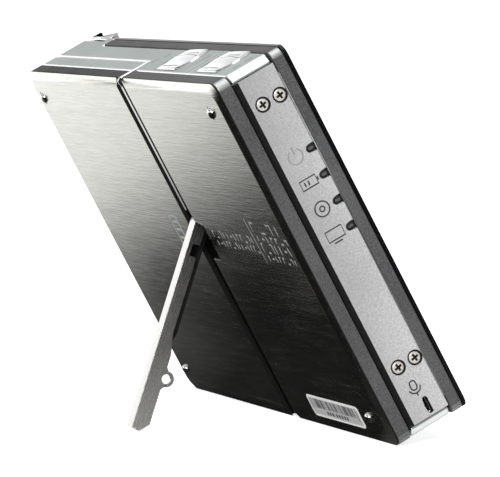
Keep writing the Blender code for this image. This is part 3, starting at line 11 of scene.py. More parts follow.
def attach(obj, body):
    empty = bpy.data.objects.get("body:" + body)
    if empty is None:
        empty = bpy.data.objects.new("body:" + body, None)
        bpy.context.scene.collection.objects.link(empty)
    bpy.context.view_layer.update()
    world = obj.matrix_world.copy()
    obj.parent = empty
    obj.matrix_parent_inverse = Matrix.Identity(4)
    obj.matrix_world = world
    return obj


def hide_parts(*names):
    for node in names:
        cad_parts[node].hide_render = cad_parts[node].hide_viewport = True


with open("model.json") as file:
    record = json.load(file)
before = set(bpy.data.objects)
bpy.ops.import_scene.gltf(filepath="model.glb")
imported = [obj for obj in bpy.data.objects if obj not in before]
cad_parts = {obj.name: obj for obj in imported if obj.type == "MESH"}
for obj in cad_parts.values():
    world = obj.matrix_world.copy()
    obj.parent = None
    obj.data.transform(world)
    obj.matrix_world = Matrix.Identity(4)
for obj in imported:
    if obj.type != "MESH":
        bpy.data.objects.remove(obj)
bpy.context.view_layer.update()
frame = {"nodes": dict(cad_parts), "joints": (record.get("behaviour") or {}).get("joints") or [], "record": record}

bl_info = {
    "name": "Portable media player dressing",
    "version": (1, 0, 0),
    "blender": (4, 5, 0),
    "location": "3D View > Sidebar > Player",
    "description": "Finishes, rounded edges and markings for a portable media player on its stand",
    "category": "Object",
}

MM = 0.001
BODY_OF = {
    node: body for body, nodes in frame["record"]["behaviour"]["bodies"].items() for node in nodes}
JOINTS = {joint["name"]: joint for joint in frame["joints"]}

# The player is drawn upright, with x along its width, y from screen to back and z up. It leans back
# by the angle that the front rockers' axes show.
UPRIGHT_AXIS = JOINTS["front_rocker_tilt_1"]["axis"]
TURN = Matrix.Rotation(-atan2(UPRIGHT_AXIS[1], UPRIGHT_AXIS[2]), 4, "X")


def corners(node, matrix):
    """Lowest and highest corner of a node, seen through a matrix."""
    points = [matrix @ vert.co for vert in frame["nodes"][node].data.vertices]
    low = Vector([min(point[axis] for point in points) for axis in range(3)])
    high = Vector([max(point[axis] for point in points) for axis in range(3)])
    return low, high


SCREEN_FRONT = corners("screen_lens", TURN.inverted())[0].y
BOTTOM = corners("middle_frame", TURN.inverted())[0].z
PLAYER = TURN @ Matrix.Translation((0, SCREEN_FRONT, BOTTOM))


def span(node):
    """Lowest and highest corner of a node in the player's upright frame."""
    return corners(node, PLAYER.inverted())


def middle_of(node):
    """Middle of a node in the player's upright frame."""
    low, high = span(node)
    return (low + high) / 2


FRAME_HIGH = span("middle_frame")[1]
BACK_FACE = span("rear_plate")[1].y
SIDE_FACE = span("side_panel")[0].x

# Right and up on a printed sheet that lies on one of the player's faces
FROM_SIDE = ((0, -1, 0), (0, 0, 1))
FROM_FAR_SIDE = ((0, 1, 0), (0, 0, 1))
FROM_BACK = ((-1, 0, 0), (0, 0, 1))
FROM_ABOVE = ((-1, 0, 0), (0, -1, 0))

SHARP_ANGLE = radians(32)
BEVEL_ANGLE = radians(12)
SHORTEST_EDGE = 0.5 * MM
INK_HEIGHT = 0.012 * MM
INK_DEPTH = 0.02 * MM


# Settings that a user would change


def length_setting(name, description, default, least=0.0):
    """A size in metres."""
    return bpy.props.FloatProperty(
        name=name, description=description, default=default, min=least, unit="LENGTH")


def colour_setting(name, description, default):
    """A colour."""
    return bpy.props.FloatVectorProperty(
        name=name, description=description, default=default, min=0, max=1, subtype="COLOR")


def plain_setting(name, description, default, least=0.0):
    """A brightness, a power or another plain number."""
    return bpy.props.FloatProperty(name=name, description=description, default=default, min=least)


class ShellSettings(bpy.types.PropertyGroup):
    """Edges and colours of the casing."""
    frame_edge: length_setting("Frame edge", "Width of the bevel on the silver frame", 0.55 * MM)
    band_edge: length_setting("Band edge", "Width of the bevel on the dark bands", 0.2 * MM)
    silver: colour_setting("Silver", "Colour of the painted metal", (0.405, 0.445, 0.43))
    panel_silver: colour_setting("Panel silver", "Colour of the side panel", (0.73, 0.73, 0.73))
    dark: colour_setting("Dark", "Colour of the bezel and the bands", (0.095, 0.095, 0.097))


class PlateSettings(bpy.types.PropertyGroup):
    """Brushed back plates."""
    plate: colour_setting("Plate", "Colour of the brushed plates", (0.80, 0.80, 0.77))
    streak_width: length_setting("Streak width", "Width of one brushed streak", 0.28 * MM, 0.05 * MM)
    streak_length: length_setting("Streak length", "Length of one brushed streak", 9 * MM, 1 * MM)


class RockerSettings(bpy.types.PropertyGroup):
    """Chrome rockers."""
    dish: length_setting("Dish", "Depth of the hollow in a top rocker", 0.12 * MM)
    crown: length_setting("Crown", "How far a top rocker's face falls across its width", 0.3 * MM)
    rim: length_setting("Rim", "Radius of the rocker's rounded rim", 0.35 * MM, 0.05 * MM)
    groove: length_setting("Groove", "Depth of the two tactile marks of a top rocker", 0.05 * MM)
    chrome: colour_setting("Chrome", "Colour of the plating", (0.92, 0.93, 0.94))


class StandSettings(bpy.types.PropertyGroup):
    """Leg and channel."""
    steel: colour_setting("Steel", "Colour of the leg", (0.74, 0.73, 0.71))
    sheet_edge: length_setting("Sheet edge", "Width of the bevel along the leg's sheet", 0.12 * MM)


class MarkSettings(bpy.types.PropertyGroup):
    """Printed marks."""
    line: length_setting("Line", "Width of a printed line", 0.28 * MM, 0.05 * MM)
    ink: colour_setting("Ink", "Colour of the side marks", (0.045, 0.045, 0.05))


class StageSettings(bpy.types.PropertyGroup):
    """Floor, lights and camera."""
    floor: colour_setting("Floor", "Colour of the floor", (0.86, 0.86, 0.86))
    # The floor's glow is painted light: it lights the player from below, though the floor is no lamp.
    floor_glow: plain_setting("Floor glow", "How far the floor is lit from below", 0.4)
    far_side: plain_setting("Far side", "Brightness of the backdrop behind the player", 1.35)
    near_side: plain_setting("Near side", "Brightness of the room behind the camera", 0.2)
    ceiling: plain_setting("Ceiling", "Brightness of the ceiling as a share of the walls", 0.46)
    top_light: plain_setting("Top light", "Power of the soft light overhead in watts", 1.6)
    side_light: plain_setting("Side light", "Power of the soft light beside the camera in watts", 5.0)
    focal_length: plain_setting("Focal length", "Focal length of the camera in millimetres", 314.26, 1.0)


# Node helpers


def fill(tree, socket, value):
    """Links a socket to the one that is given, or sets it to the value that is given."""
    if isinstance(value, bpy.types.NodeSocket):
        tree.links.new(value, socket)
    else:
        socket.default_value = value


def shader_node(tree, kind, inputs, **settings):
    """Adds a node with its settings and its inputs."""
    made = tree.nodes.new(kind)
    for key, value in settings.items():
        setattr(made, key, value)
    for key, value in inputs.items():
        fill(tree, made.inputs[key], value)
    return made


def maths(tree, operation, first, second=0.0):
    """A sum, product or other operation of two values."""
    return shader_node(tree, "ShaderNodeMath", {0: first, 1: second}, operation=operation).outputs[0]


def times(tree, first, second):
    """Product of two values."""
    return maths(tree, "MULTIPLY", first, second)


def plus(tree, first, second):
    """Sum of two values."""
    return maths(tree, "ADD", first, second)


def minus(tree, first, second):
    """Difference of two values."""
    return maths(tree, "SUBTRACT", first, second)


def absolute(tree, value):
    """A value without its sign."""
    return maths(tree, "ABSOLUTE", value)


def axes(tree, vector):
    """The three parts of a vector."""
    return shader_node(tree, "ShaderNodeSeparateXYZ", {0: vector}).outputs


def joined(tree, across, depth, up):
    """A vector from its three parts."""
    return shader_node(tree, "ShaderNodeCombineXYZ", {0: across, 1: depth, 2: up}).outputs[0]


def ranged(tree, value, low, high, to_low, to_high):
    """A value carried from one range to another, held at its ends."""
    inputs = {"Value": value, "From Min": low, "From Max": high, "To Min": to_low, "To Max": to_high}
    return shader_node(tree, "ShaderNodeMapRange", inputs).outputs["Result"]


def blended(tree, factor, first, second):
    """A colour between two colours."""
    inputs = {0: factor, 6: colour4(first), 7: colour4(second)}
    return shader_node(tree, "ShaderNodeMix", inputs, data_type="RGBA").outputs[2]


def colour4(colour):
    """A colour with its fourth value, or the socket that gives it."""
    return colour if isinstance(colour, bpy.types.NodeSocket) else (*colour[:3], 1)


def scaled(colour, factor):
    """A colour made lighter or darker."""
    return tuple(min(1, part * factor) for part in colour[:3])


def effect_group(name, inputs, outputs, build):
    """A shader group with named sockets, built once. An input without a default is a vector."""
    found = bpy.data.node_groups.get(name)
    if found:
        return found
    group = bpy.data.node_groups.new(name, "ShaderNodeTree")
    for socket, default in inputs.items():
        kind = "NodeSocketVector" if default is None else "NodeSocketFloat"
        made = group.interface.new_socket(socket, in_out="INPUT", socket_type=kind)
        if default is not None:
            made.default_value = default
    for socket in outputs:
        group.interface.new_socket(socket, in_out="OUTPUT", socket_type="NodeSocketFloat")
    results = build(group, group.nodes.new("NodeGroupInput").outputs)
    sink = group.nodes.new("NodeGroupOutput")
    for socket, value in zip(outputs, results):
        group.links.new(value, sink.inputs[socket])
    return group


def noise(tree, vector, scale, detail=2.0, roughness=0.5):
    """A noise value around one half."""
    inputs = {"Vector": vector, "Scale": scale, "Detail": detail, "Roughness": roughness}
    return shader_node(tree, "ShaderNodeTexNoise", inputs).outputs[0]


def grain_group():
    """Fine grain of paint or moulded plastic, with slow clouds in it."""
    def build(tree, given):
        fine = noise(tree, given["Vector"], given["Scale"], 3)
        cloud = noise(tree, given["Vector"], times(tree, given["Scale"], 0.012), 1)
        return plus(tree, times(tree, fine, 0.75), times(tree, cloud, 0.25)), fine

    return effect_group("Fine grain", {"Vector": None, "Scale": 4000.0}, ["Tone", "Height"], build)


def streak_group():
    """Brushed streaks along x: fine hairs, longer bands and a few bright scratches."""
    def build(tree, given):
        split = axes(tree, given["Vector"])
        slow = noise(tree, given["Vector"], times(tree, given["Scale"], 0.09), 2)
        wave = times(tree, minus(tree, slow, 0.5), given["Wave"])
        waved = joined(tree, split[0], split[1], plus(tree, split[2], wave))

        def stretched(length_share, scale_share):
            length = joined(tree, times(tree, given["Stretch"], length_share), 1.0, 1.0)
            vector = shader_node(
                tree, "ShaderNodeVectorMath", {0: waved, 1: length}, operation="MULTIPLY").outputs[0]
            return noise(tree, vector, times(tree, given["Scale"], scale_share), 2, 0.6)

        hair = stretched(1.0, 1.0)
        band = stretched(0.5, 0.22)
        bright = ranged(tree, stretched(0.6, 0.45), 0.64, 0.72, 0, 1)
        mixed = plus(tree, times(tree, hair, 0.75), times(tree, band, 0.25))
        return plus(tree, mixed, times(tree, bright, 0.12)), mixed

    inputs = {"Vector": None, "Scale": 3000.0, "Stretch": 0.04, "Wave": 0.001}
    return effect_group("Brushed streaks", inputs, ["Tone", "Height"], build)


def edge_group():
    """Mask of bevels and rounded edges, where the surface turns away from the player's axes."""
    def build(tree, given):
        sizes = [absolute(tree, part) for part in axes(tree, given["Normal"])]
        largest = maths(tree, "MAXIMUM", maths(tree, "MAXIMUM", sizes[0], sizes[1]), sizes[2])
        rubbed = ranged(tree, noise(tree, given["Vector"], 900.0, 3), 0.35, 0.62, 0.94, 1)
        return [times(tree, ranged(tree, largest, 0.97, 0.88, 0, 1), rubbed)]

    return effect_group("Edge polish", {"Vector": None, "Normal": None}, ["Mask"], build)


def table_light_group():
    """Mask of the cut lower corners, where the pale table's light from below is painted into the colour."""
    def build(tree, given):
        turned = axes(tree, given["Normal"])
        down = ranged(tree, turned[2], -0.4, -0.62, 0, 1)
        return [times(tree, down, ranged(tree, absolute(tree, turned[0]), 0.4, 0.62, 0, 1))]

    return effect_group("Lower corners", {"Normal": None}, ["Mask"], build)


def smudge_group():
    """Handled patches: faint wide smears and small specks of dust."""
    def build(tree, given):
        smear = noise(tree, given["Vector"], given["Scale"], 4, 0.62)
        speck = noise(tree, given["Vector"], times(tree, given["Scale"], 38.0), 1)
        return ranged(tree, smear, 0.35, 0.7, 0, 1), ranged(tree, speck, 0.73, 0.8, 0, 1)

    return effect_group("Smudges and dust", {"Vector": None, "Scale": 45.0}, ["Smear", "Dust"], build)


def shade_line_group():
    """Mask of one narrow line that runs across x and bows along y."""
    def build(tree, given):
        away = shader_node(
            tree, "ShaderNodeVectorMath", {0: given["Vector"], 1: given["Middle"]}, operation="SUBTRACT")
        split = axes(tree, away.outputs[0])
        share = maths(tree, "DIVIDE", split[0], given["Half Length"])
        bow = times(tree, times(tree, share, share), given["Bow"])
        aside = absolute(tree, minus(tree, split[1], bow))
        within = ranged(tree, aside, given["Half Width"], times(tree, given["Half Width"], 0.6), 0, 1)
        return [times(tree, within, ranged(tree, absolute(tree, share), 1.0, 0.93, 0, 1))]

    inputs = {"Vector": None, "Middle": None, "Half Length": 0.004, "Half Width": 0.0002, "Bow": 0.0}
    return effect_group("Shade line", inputs, ["Mask"], build)


def effect(tree, group, **inputs):
    """Places a group in a material and returns its outputs."""
    made = tree.nodes.new("ShaderNodeGroup")
    made.node_tree = group
    for key, value in inputs.items():
        fill(tree, made.inputs[key.replace("_", " ")], value)
    return made.outputs


def grain_on(tree, place, scale):
    """Fine grain in the player's own frame."""
    return effect(tree, grain_group(), Vector=place["Object"], Scale=scale)


def smudges_on(tree, place, scale):
    """Smears and dust in the player's own frame."""
    return effect(tree, smudge_group(), Vector=place["Object"], Scale=scale)


def reopened(made):
    """A material's tree and shader, and the coordinates of the player's own frame."""
    tree = made.node_tree
    return tree, tree.nodes["Principled BSDF"], tree.nodes.new("ShaderNodeTexCoord").outputs


def started(name, **values):
    """A new material with its shader's plain values, and what reopened gives."""
    found = bpy.data.materials.get(name)
    if found:
        bpy.data.materials.remove(found)
    made = bpy.data.materials.new(name)
    made.use_nodes = True
    tree, shader, place = reopened(made)
    feed(tree, shader, **values)
    return made, tree, shader, place


def bumped(tree, shader, height, distance):
    """Feeds a height into the shader's normal."""
    bump = shader_node(tree, "ShaderNodeBump", {"Height": height, "Distance": distance, "Strength": 1.0})
    feed(tree, shader, Normal=bump.outputs[0])


def feed(tree, shader, **sockets):
    """Links or sets the shader's sockets by name."""
    for key, value in sockets.items():
        fill(tree, shader.inputs[key.replace("_", " ")], value)


def fed(shader, socket):
    """What already feeds a socket of the shader."""
    return shader.inputs[socket].links[0].from_socket


def toned(tree, tone, low, high, colour, contrast):
    """A colour made darker and lighter by a tone between two values."""
    share = ranged(tree, tone, low, high, 0, 1)
    return blended(tree, share, scaled(colour, 1 - contrast), scaled(colour, 1 + contrast))


def dusted(tree, smudge, share, base, dust):
    """A colour with specks of dust on it."""
    return blended(tree, times(tree, smudge["Dust"], share), base, dust)


def smeared(tree, smudge, low, high):
    """A roughness that rises where the surface is smeared."""
    return ranged(tree, smudge["Smear"], 0, 1, low, high)


# Finishes

BARE_METAL = (0.86, 0.87, 0.87)
# Painted light: the lower corners as the table lights them, on the silver paint and on the dark coat
SILVER_LIT_BY_TABLE = (0.92, 0.96, 0.94)
DARK_LIT_BY_TABLE = (0.25, 0.25, 0.25)
# Scale and relief of the grain of inks, and of glossy and black plastics
INK_GRAIN = (5200.0, 0.002 * MM)
GLOSSY_GRAIN = (2500.0, 0.002 * MM)


def painted_metal(name, colour, grain_scale=5200.0, metallic=0.3, rough=0.45):
    """Bead-blasted metal: fine grain, slow clouds, bevels that are cut bright, and lower corners lightened with
    painted light from the table.
    """
    made, tree, shader, place = started(name)
    grain = grain_on(tree, place, grain_scale)
    edge = effect(tree, edge_group(), Vector=place["Object"], Normal=place["Normal"])["Mask"]
    under = effect(tree, table_light_group(), Normal=place["Normal"])["Mask"]
    smudge = smudges_on(tree, place, 60.0)
    base = toned(tree, grain["Tone"], 0.36, 0.64, colour, 0.2)
    bright = blended(tree, edge, base, BARE_METAL)
    satin = smeared(tree, smudge, rough, rough + 0.07)
    shine = ranged(tree, edge, 0, 1, metallic, 1)
    # Painted light: the lower corners turn a pale, non-metallic colour, as the table below lights them.
    feed(tree, shader, Base_Color=blended(tree, under, bright, SILVER_LIT_BY_TABLE),
         Roughness=ranged(tree, edge, 0, 1, satin, 0.2), Metallic=ranged(tree, under, 0, 1, shine, 0))
    bumped(tree, shader, grain["Height"], 0.005 * MM)
    return made


def dark_coat(name, colour):
    """Dark matt coat of the bezel and bands, leather-fine, with the outer corners rubbed bare and the lower
    corners lightened with painted light from the table.
    """
    made, tree, shader, place = started(name, Specular_IOR_Level=0.03)
    grain = grain_on(tree, place, 5200.0)
    smudge = smudges_on(tree, place, 70.0)
    base = toned(tree, grain["Tone"], 0.36, 0.64, colour, 0.4)
    dusty = dusted(tree, smudge, 0.12, base, (0.5, 0.48, 0.45))
    turned = axes(tree, place["Normal"])
    both = times(tree, absolute(tree, turned[0]), absolute(tree, turned[2]))
    under = effect(tree, table_light_group(), Normal=place["Normal"])["Mask"]
    corner = minus(tree, ranged(tree, both, 0.2, 0.42, 0, 1), under)
    rubbed = blended(tree, corner, dusty, scaled(BARE_METAL, 0.62))
    # Painted light: the lower corners turn a lighter grey, as the table below lights them.
    feed(tree, shader, Base_Color=blended(tree, under, rubbed, DARK_LIT_BY_TABLE), Metallic=corner,
         Roughness=smeared(tree, smudge, 0.38, 0.46))
    bumped(tree, shader, grain["Height"], 0.01 * MM)
    return made


def brushed_metal(name, colour, width, length, rough=0.17, contrast=0.18, lean=None, depth=0.022 * MM):
    """Brushed metal: streaks along x, or along z leant about x where an angle is given."""
    made, tree, shader, place = started(name)
    along = place["Object"]
    if lean is not None:
        turned = shader_node(tree, "ShaderNodeMapping", {"Vector": along, "Rotation": (-lean, 0, 0)})
        split = axes(tree, turned.outputs[0])
        along = joined(tree, split[2], split[1], split[0])
    streak = effect(
        tree, streak_group(), Vector=along, Scale=1 / width, Stretch=width / length, Wave=1.6 * width)
    smudge = smudges_on(tree, place, 38.0)
    base = toned(tree, streak["Tone"], 0.3, 0.72, colour, contrast)
    wear = times(tree, smudge["Smear"], 0.05)
    satin = ranged(tree, streak["Tone"], 0.3, 0.7, rough - 0.05, rough + 0.06)
    feed(tree, shader, Base_Color=dusted(tree, smudge, 0.05, base, (0.6, 0.58, 0.55)),
         Roughness=plus(tree, satin, wear), Metallic=ranged(tree, streak["Tone"], 0.56, 0.7, 1, 0.985))
    bumped(tree, shader, streak["Height"], depth)
    return made


def plated_metal(name, colour, rough=0.09, metallic=1.0):
    """Bright plating with faint wipe marks."""
    made, tree, shader, place = started(name, Metallic=metallic)
    smudge = smudges_on(tree, place, 160.0)
    grain = grain_on(tree, place, 2500.0)
    base = blended(tree, times(tree, smudge["Smear"], 0.6), colour, scaled(colour, 0.93))
    feed(tree, shader, Base_Color=base, Roughness=smeared(tree, smudge, rough, rough + 0.06))
    bumped(tree, shader, grain["Height"], 0.0015 * MM)
    return made


# Each dark line of painted shade on a top rocker, in its grooves and along the edge of its hollow: its place
# and length as shares of the half sizes, its half width and its bow
ROCKER_SHADE_LINES = (
    (0.06, 0.66, 0.68, 0.17 * MM, 0.0), (-0.1, -0.56, 0.55, 0.15 * MM, 0.0),
    (0.0, -0.4, 0.97, 0.13 * MM, 0.55 * MM))


def shade_lined_chrome(name, colour, node):
    """Bright plating of a top rocker with dark lines of painted shade: its two dashes, for the shade in their
    grooves, and the line along its hollow, for the shade at the hollow's edge.
    """
    made = plated_metal(name, colour)
    tree, shader, place = reopened(made)
    low, high = span(node)
    middle = middle_of(node)
    half = (high - low) / 2
    mask = None
    for across, along, length, width, bow in ROCKER_SHADE_LINES:
        centre = (middle.x + across * half.x, middle.y + along * half.y, 0)
        line = effect(tree, shade_line_group(), Vector=place["Object"], Middle=centre, Half_Length=length * half.x,
                      Half_Width=width, Bow=bow)["Mask"]
        mask = line if mask is None else maths(tree, "MAXIMUM", mask, line)
    # Painted shade: the lines turn dark, matt and not metallic.
    feed(tree, shader, Base_Color=blended(tree, mask, fed(shader, "Base Color"), (0.2, 0.2, 0.21)),
         Roughness=ranged(tree, mask, 0, 1, fed(shader, "Roughness"), 0.85),
         Metallic=ranged(tree, mask, 0, 1, 1, 0))
    return made


def plastic(name, colour, rough=0.42, grain_scale=3600.0, grain_height=0.01 * MM, **values):
    """Moulded plastic or rubber with its mould grain and a little dust."""
    made, tree, shader, place = started(name, **values)
    grain = grain_on(tree, place, grain_scale)
    smudge = smudges_on(tree, place, 80.0)
    base = toned(tree, grain["Tone"], 0.3, 0.7, colour, 0.2)
    feed(tree, shader, Base_Color=dusted(tree, smudge, 0.1, base, (0.45, 0.43, 0.40)),
         Roughness=smeared(tree, smudge, rough, rough + 0.1))
    bumped(tree, shader, grain["Height"], grain_height)
    return made


def circuit_board(name, mask):
    """Solder mask over copper traces, with pads and vias."""
    made, tree, shader, place = started(name)
    cells = shader_node(
        tree, "ShaderNodeTexBrick",
        {"Vector": place["Object"], "Scale": 260.0, "Mortar Size": 0.012, "Color1": colour4(mask),
         "Color2": colour4(scaled(mask, 1.25)), "Mortar": colour4(scaled(mask, 1.9))})
    dots = shader_node(tree, "ShaderNodeTexVoronoi", {"Vector": place["Object"], "Scale": 420.0})
    pad = ranged(tree, dots.outputs["Distance"], 0.16, 0.12, 0, 1)
    feed(tree, shader, Base_Color=blended(tree, pad, cells.outputs["Color"], (0.72, 0.66, 0.42)),
         Metallic=pad, Roughness=smeared(tree, smudges_on(tree, place, 90.0), 0.3, 0.42))
    bumped(tree, shader, cells.outputs["Fac"], 0.03 * MM)
    return made


# Mesh helpers, all in the player's upright frame


def add_piece(name, mesh, finish, node, matrix=PLAYER):
    """Adds a mesh, drawn in the frame that the matrix gives, to the body and the slot of a node."""
    for polygon in mesh.polygons:
        polygon.use_smooth = True
    mesh.materials.clear()
    mesh.materials.append(finish)
    piece = bpy.data.objects.new(name, mesh)
    bpy.context.scene.collection.objects.link(piece)
    piece.matrix_world = matrix
    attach(piece, BODY_OF[node])
    return piece


def mesh_from(name, build):
    """A mesh from what the build function puts into an empty one."""
    shape = bmesh.new()
    build(shape)
    bmesh.ops.recalc_face_normals(shape, faces=shape.faces)
    mesh = bpy.data.meshes.new(name)
    shape.to_mesh(mesh)
    shape.free()
    return mesh


def built_piece(name, build, finish, node, sharp=SHARP_ANGLE):
    """A piece from what the build function draws, with crisp corners."""
    piece = add_piece(name, mesh_from(name, build), finish, node)
    mark_sharp(piece.data, sharp)
    return piece


def mark_sharp(mesh, angle=SHARP_ANGLE):
    """Keeps the shading crisp over corners that turn more than the angle."""
    mesh.shade_smooth()
    mesh.set_sharp_from_angle(angle=angle)


def block(shape, low, high):
    """Adds a closed block between two corners."""
    low = Vector(low)
    high = Vector(high)
    made = bmesh.ops.create_cube(shape, size=1)["verts"]
    bmesh.ops.scale(shape, vec=high - low, verts=made)
    bmesh.ops.translate(shape, vec=(low + high) / 2, verts=made)


def bridge(shape, rims, closed=False):
    """Joins matching rings of points into a bar with two ends, or into a closed ring."""
    for first, second in list(zip(rims, rims[1:])) + ([(rims[-1], rims[0])] if closed else []):
        for corner in range(len(first)):
            nearby = (corner + 1) % len(first)
            shape.faces.new((first[corner], first[nearby], second[nearby], second[corner]))
    if not closed:
        shape.faces.new(rims[0])
        shape.faces.new(rims[-1][::-1])


def round_edges(piece, width, segments):
    """Rounds the edges that carry a bevel weight."""
    bevel = piece.modifiers.new("round", "BEVEL")
    bevel.limit_method = "WEIGHT"
    bevel.width = width
    bevel.segments = segments
    bevel.use_clamp_overlap = False
    bevel.loop_slide = False
    normals = piece.modifiers.new("shading", "WEIGHTED_NORMAL")
    normals.keep_sharp = True


def dress(node, finish, edge=0.0, segments=2, shortest=SHORTEST_EDGE, sharp=SHARP_ANGLE, matrix=PLAYER,
          where=lambda middle: True):
    """A copy of a node that stands for it, with flat faces made whole and its edges rounded."""
    mesh = frame["nodes"][node].data.copy()
    for attribute in ("custom_normal", "UVMap"):
        if attribute in mesh.attributes:
            mesh.attributes.remove(mesh.attributes[attribute])
    mesh.transform(matrix.inverted())
    shape = bmesh.new()
    shape.from_mesh(mesh)
    bmesh.ops.remove_doubles(shape, verts=shape.verts, dist=0.001 * MM)
    bmesh.ops.dissolve_limit(shape, angle_limit=radians(0.4), verts=shape.verts, edges=shape.edges)
    weights = shape.edges.layers.float.new("bevel_weight_edge")
    for line in shape.edges:
        turn = line.calc_face_angle(0)
        line.smooth = turn < sharp
        middle = (line.verts[0].co + line.verts[1].co) / 2
        if edge and turn > sharp and line.calc_length() > shortest and where(middle):
            line[weights] = 1
            line.smooth = True
    made = bpy.data.meshes.new(f"{node}_surface")
    shape.to_mesh(made)
    shape.free()
    bpy.data.meshes.remove(mesh)
    piece = add_piece(f"{node}_surface", made, finish, node, matrix)
    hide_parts(node)
    if edge:
        round_edges(piece, edge, segments)
    return piece


def refinish(piece, finish, chosen):
    """Gives the chosen faces of a piece another finish."""
    piece.data.materials.append(finish)
    for polygon in piece.data.polygons:
        if chosen(polygon):
            polygon.material_index = 1


def paint_node(node, finish):
    """Gives a node that keeps its own shape a better finish."""
    source = frame["nodes"][node]
    source.data.materials.clear()
    source.data.materials.append(finish)


def ribbon(shape, points, width, closed=False):
    """Adds a flat printed line along points, a hair above the surface z = 0."""
    points = [Vector(point) for point in points]
    count = len(points)
    rims = []
    for index, point in enumerate(points):
        before = points[index - 1] if index or closed else point
        after = points[(index + 1) % count] if index < count - 1 or closed else point
        along = (after - before).normalized()
        aside = Vector((-along.y, along.x)) * width / 2
        rims.append([shape.verts.new((*(point + side * aside), height)) for side, height in (
            (1, INK_HEIGHT), (-1, INK_HEIGHT), (-1, -INK_DEPTH), (1, -INK_DEPTH))])
    bridge(shape, rims, closed)


def facing(origin, right, up):
    """Matrix from a printed sheet's right, up and outward directions to the player's frame."""
    right = Vector(right)
    up = Vector(up)
    turn = Matrix((right, up, right.cross(up))).transposed().to_4x4()
    return Matrix.Translation(origin) @ turn


def print_lines(name, lines, width, sheet, finish, node):
    """Prints open and closed lines on a face of the player. Each is its points and whether it closes."""
    def build(shape):
        for points, closed in lines:
            ribbon(shape, points, width, closed)
        bmesh.ops.transform(shape, matrix=sheet, verts=shape.verts)

    add_piece(name, mesh_from(name, build), finish, node)


def print_patch(name, outline, height, sheet, finish, node):
    """Lays a flat filled patch, given by its outline, on a face of the player."""
    def build(shape):
        levels = (height, -INK_DEPTH)
        bridge(shape, [[shape.verts.new((*point, level)) for point in outline] for level in levels])
        bmesh.ops.transform(shape, matrix=sheet, verts=shape.verts)

    built_piece(name, build, finish, node)


def arc(centre, radius, start, end, steps=16):
    """Points of a round stretch between two angles in degrees."""
    turns = [radians(start + (end - start) * step / steps) for step in range(steps + 1)]
    return [(centre[0] + radius * cos(turn), centre[1] + radius * sin(turn)) for turn in turns]


def rectangle(centre, width, height):
    """Points of an upright rectangle."""
    return [
        (centre[0] + across * width / 2, centre[1] + up * height / 2)
        for across, up in ((-1, -1), (1, -1), (1, 1), (-1, 1))]


def lathe(shape, profile, matrix, steps=32):
    """Turns a profile of radius and height into a closed round piece."""
    rings = []
    for radius, height in profile:
        turns = [2 * pi * step / steps for step in range(steps if radius else 1)]
        rings.append([
            shape.verts.new(matrix @ Vector((radius * cos(turn), radius * sin(turn), height)))
            for turn in turns])
    for first, second in zip(rings, rings[1:]):
        for step in range(steps):
            after = (step + 1) % steps
            patch = list(dict.fromkeys((
                first[step % len(first)], first[after % len(first)],
                second[after % len(second)], second[step % len(second)])))
            if len(patch) > 2:
                shape.faces.new(patch)


def cut(piece, mesh):
    """Cuts a mesh in the player's frame out of a piece and applies it."""
    cutter = bpy.data.objects.new("cutter", mesh)
    bpy.context.scene.collection.objects.link(cutter)
    cutter.matrix_world = PLAYER
    modifier = piece.modifiers.new("cut", "BOOLEAN")
    modifier.operation = "DIFFERENCE"
    modifier.solver = "EXACT"
    modifier.use_self = True
    modifier.object = cutter
    bpy.context.view_layer.update()
    graph = bpy.context.evaluated_depsgraph_get()
    made = bpy.data.meshes.new_from_object(piece.evaluated_get(graph))
    piece.modifiers.remove(modifier)
    piece.data = made
    bpy.data.objects.remove(cutter)
    mark_sharp(piece.data)


# Pieces


class PLAYER_OT_shell(bpy.types.Operator):
    """Dress the silver frame, the side panel, the bezel and the dark bands"""
    bl_idname = "player.shell"
    bl_label = "Shell"

    def execute(self, context):
        settings = context.scene.player_shell
        silver = painted_metal("silver_paint", settings.silver)
        panel = panel_with_painted_shade(settings)
        dark = dark_coat("dark_coat", settings.dark)
        dress("middle_frame", silver, settings.frame_edge, where=clear_of_windows)
        dress("battery_case", silver, settings.frame_edge)
        panel_top = span("side_panel")[1].z - 0.2 * MM
        side = dress(
            "side_panel", panel, 0.4 * settings.frame_edge, where=lambda middle: middle.z < panel_top)
        # Painted shade: the side panel's rear facet gets a black finish where it falls dark.
        shade = plastic("facet_painted_shade", (0.012, 0.012, 0.012), 0.6, Specular_IOR_Level=0.1)
        refinish(side, shade, lambda polygon: polygon.normal.y > 0.3)
        dress("front_bezel", dark, settings.band_edge)
        panel_gasket(dark)
        dress("rear_frame", dark, settings.band_edge)
        dress("battery_band", dark_coat("darker_coat", scaled(settings.dark, 0.4)), settings.band_edge)
        return {"FINISHED"}


def panel_gasket(finish):
    """Thin dark strip in the joint of the side panel and the bezel."""
    low, high = span("side_panel")
    front = span("front_bezel")[1].y
    mesh = mesh_from("panel_gasket", lambda shape: block(
        shape, (low.x + 0.1 * MM, front, low.z + 2 * MM), (low.x + 0.6 * MM, low.y, high.z - 2 * MM)))
    add_piece("panel_gasket", mesh, finish, "front_bezel")


def clear_of_windows(point):
    """Whether a place lies clear of the top rockers' windows, whose edges stay crisp."""
    low = span("top_rocker_2")[0]
    high = span("top_rocker_1")[1]
    beside = not low.x - MM < point.x < high.x + MM or not low.y - 0.1 * MM < point.y < high.y + 0.5 * MM
    return beside or point.z < FRAME_HIGH.z - 3 * MM


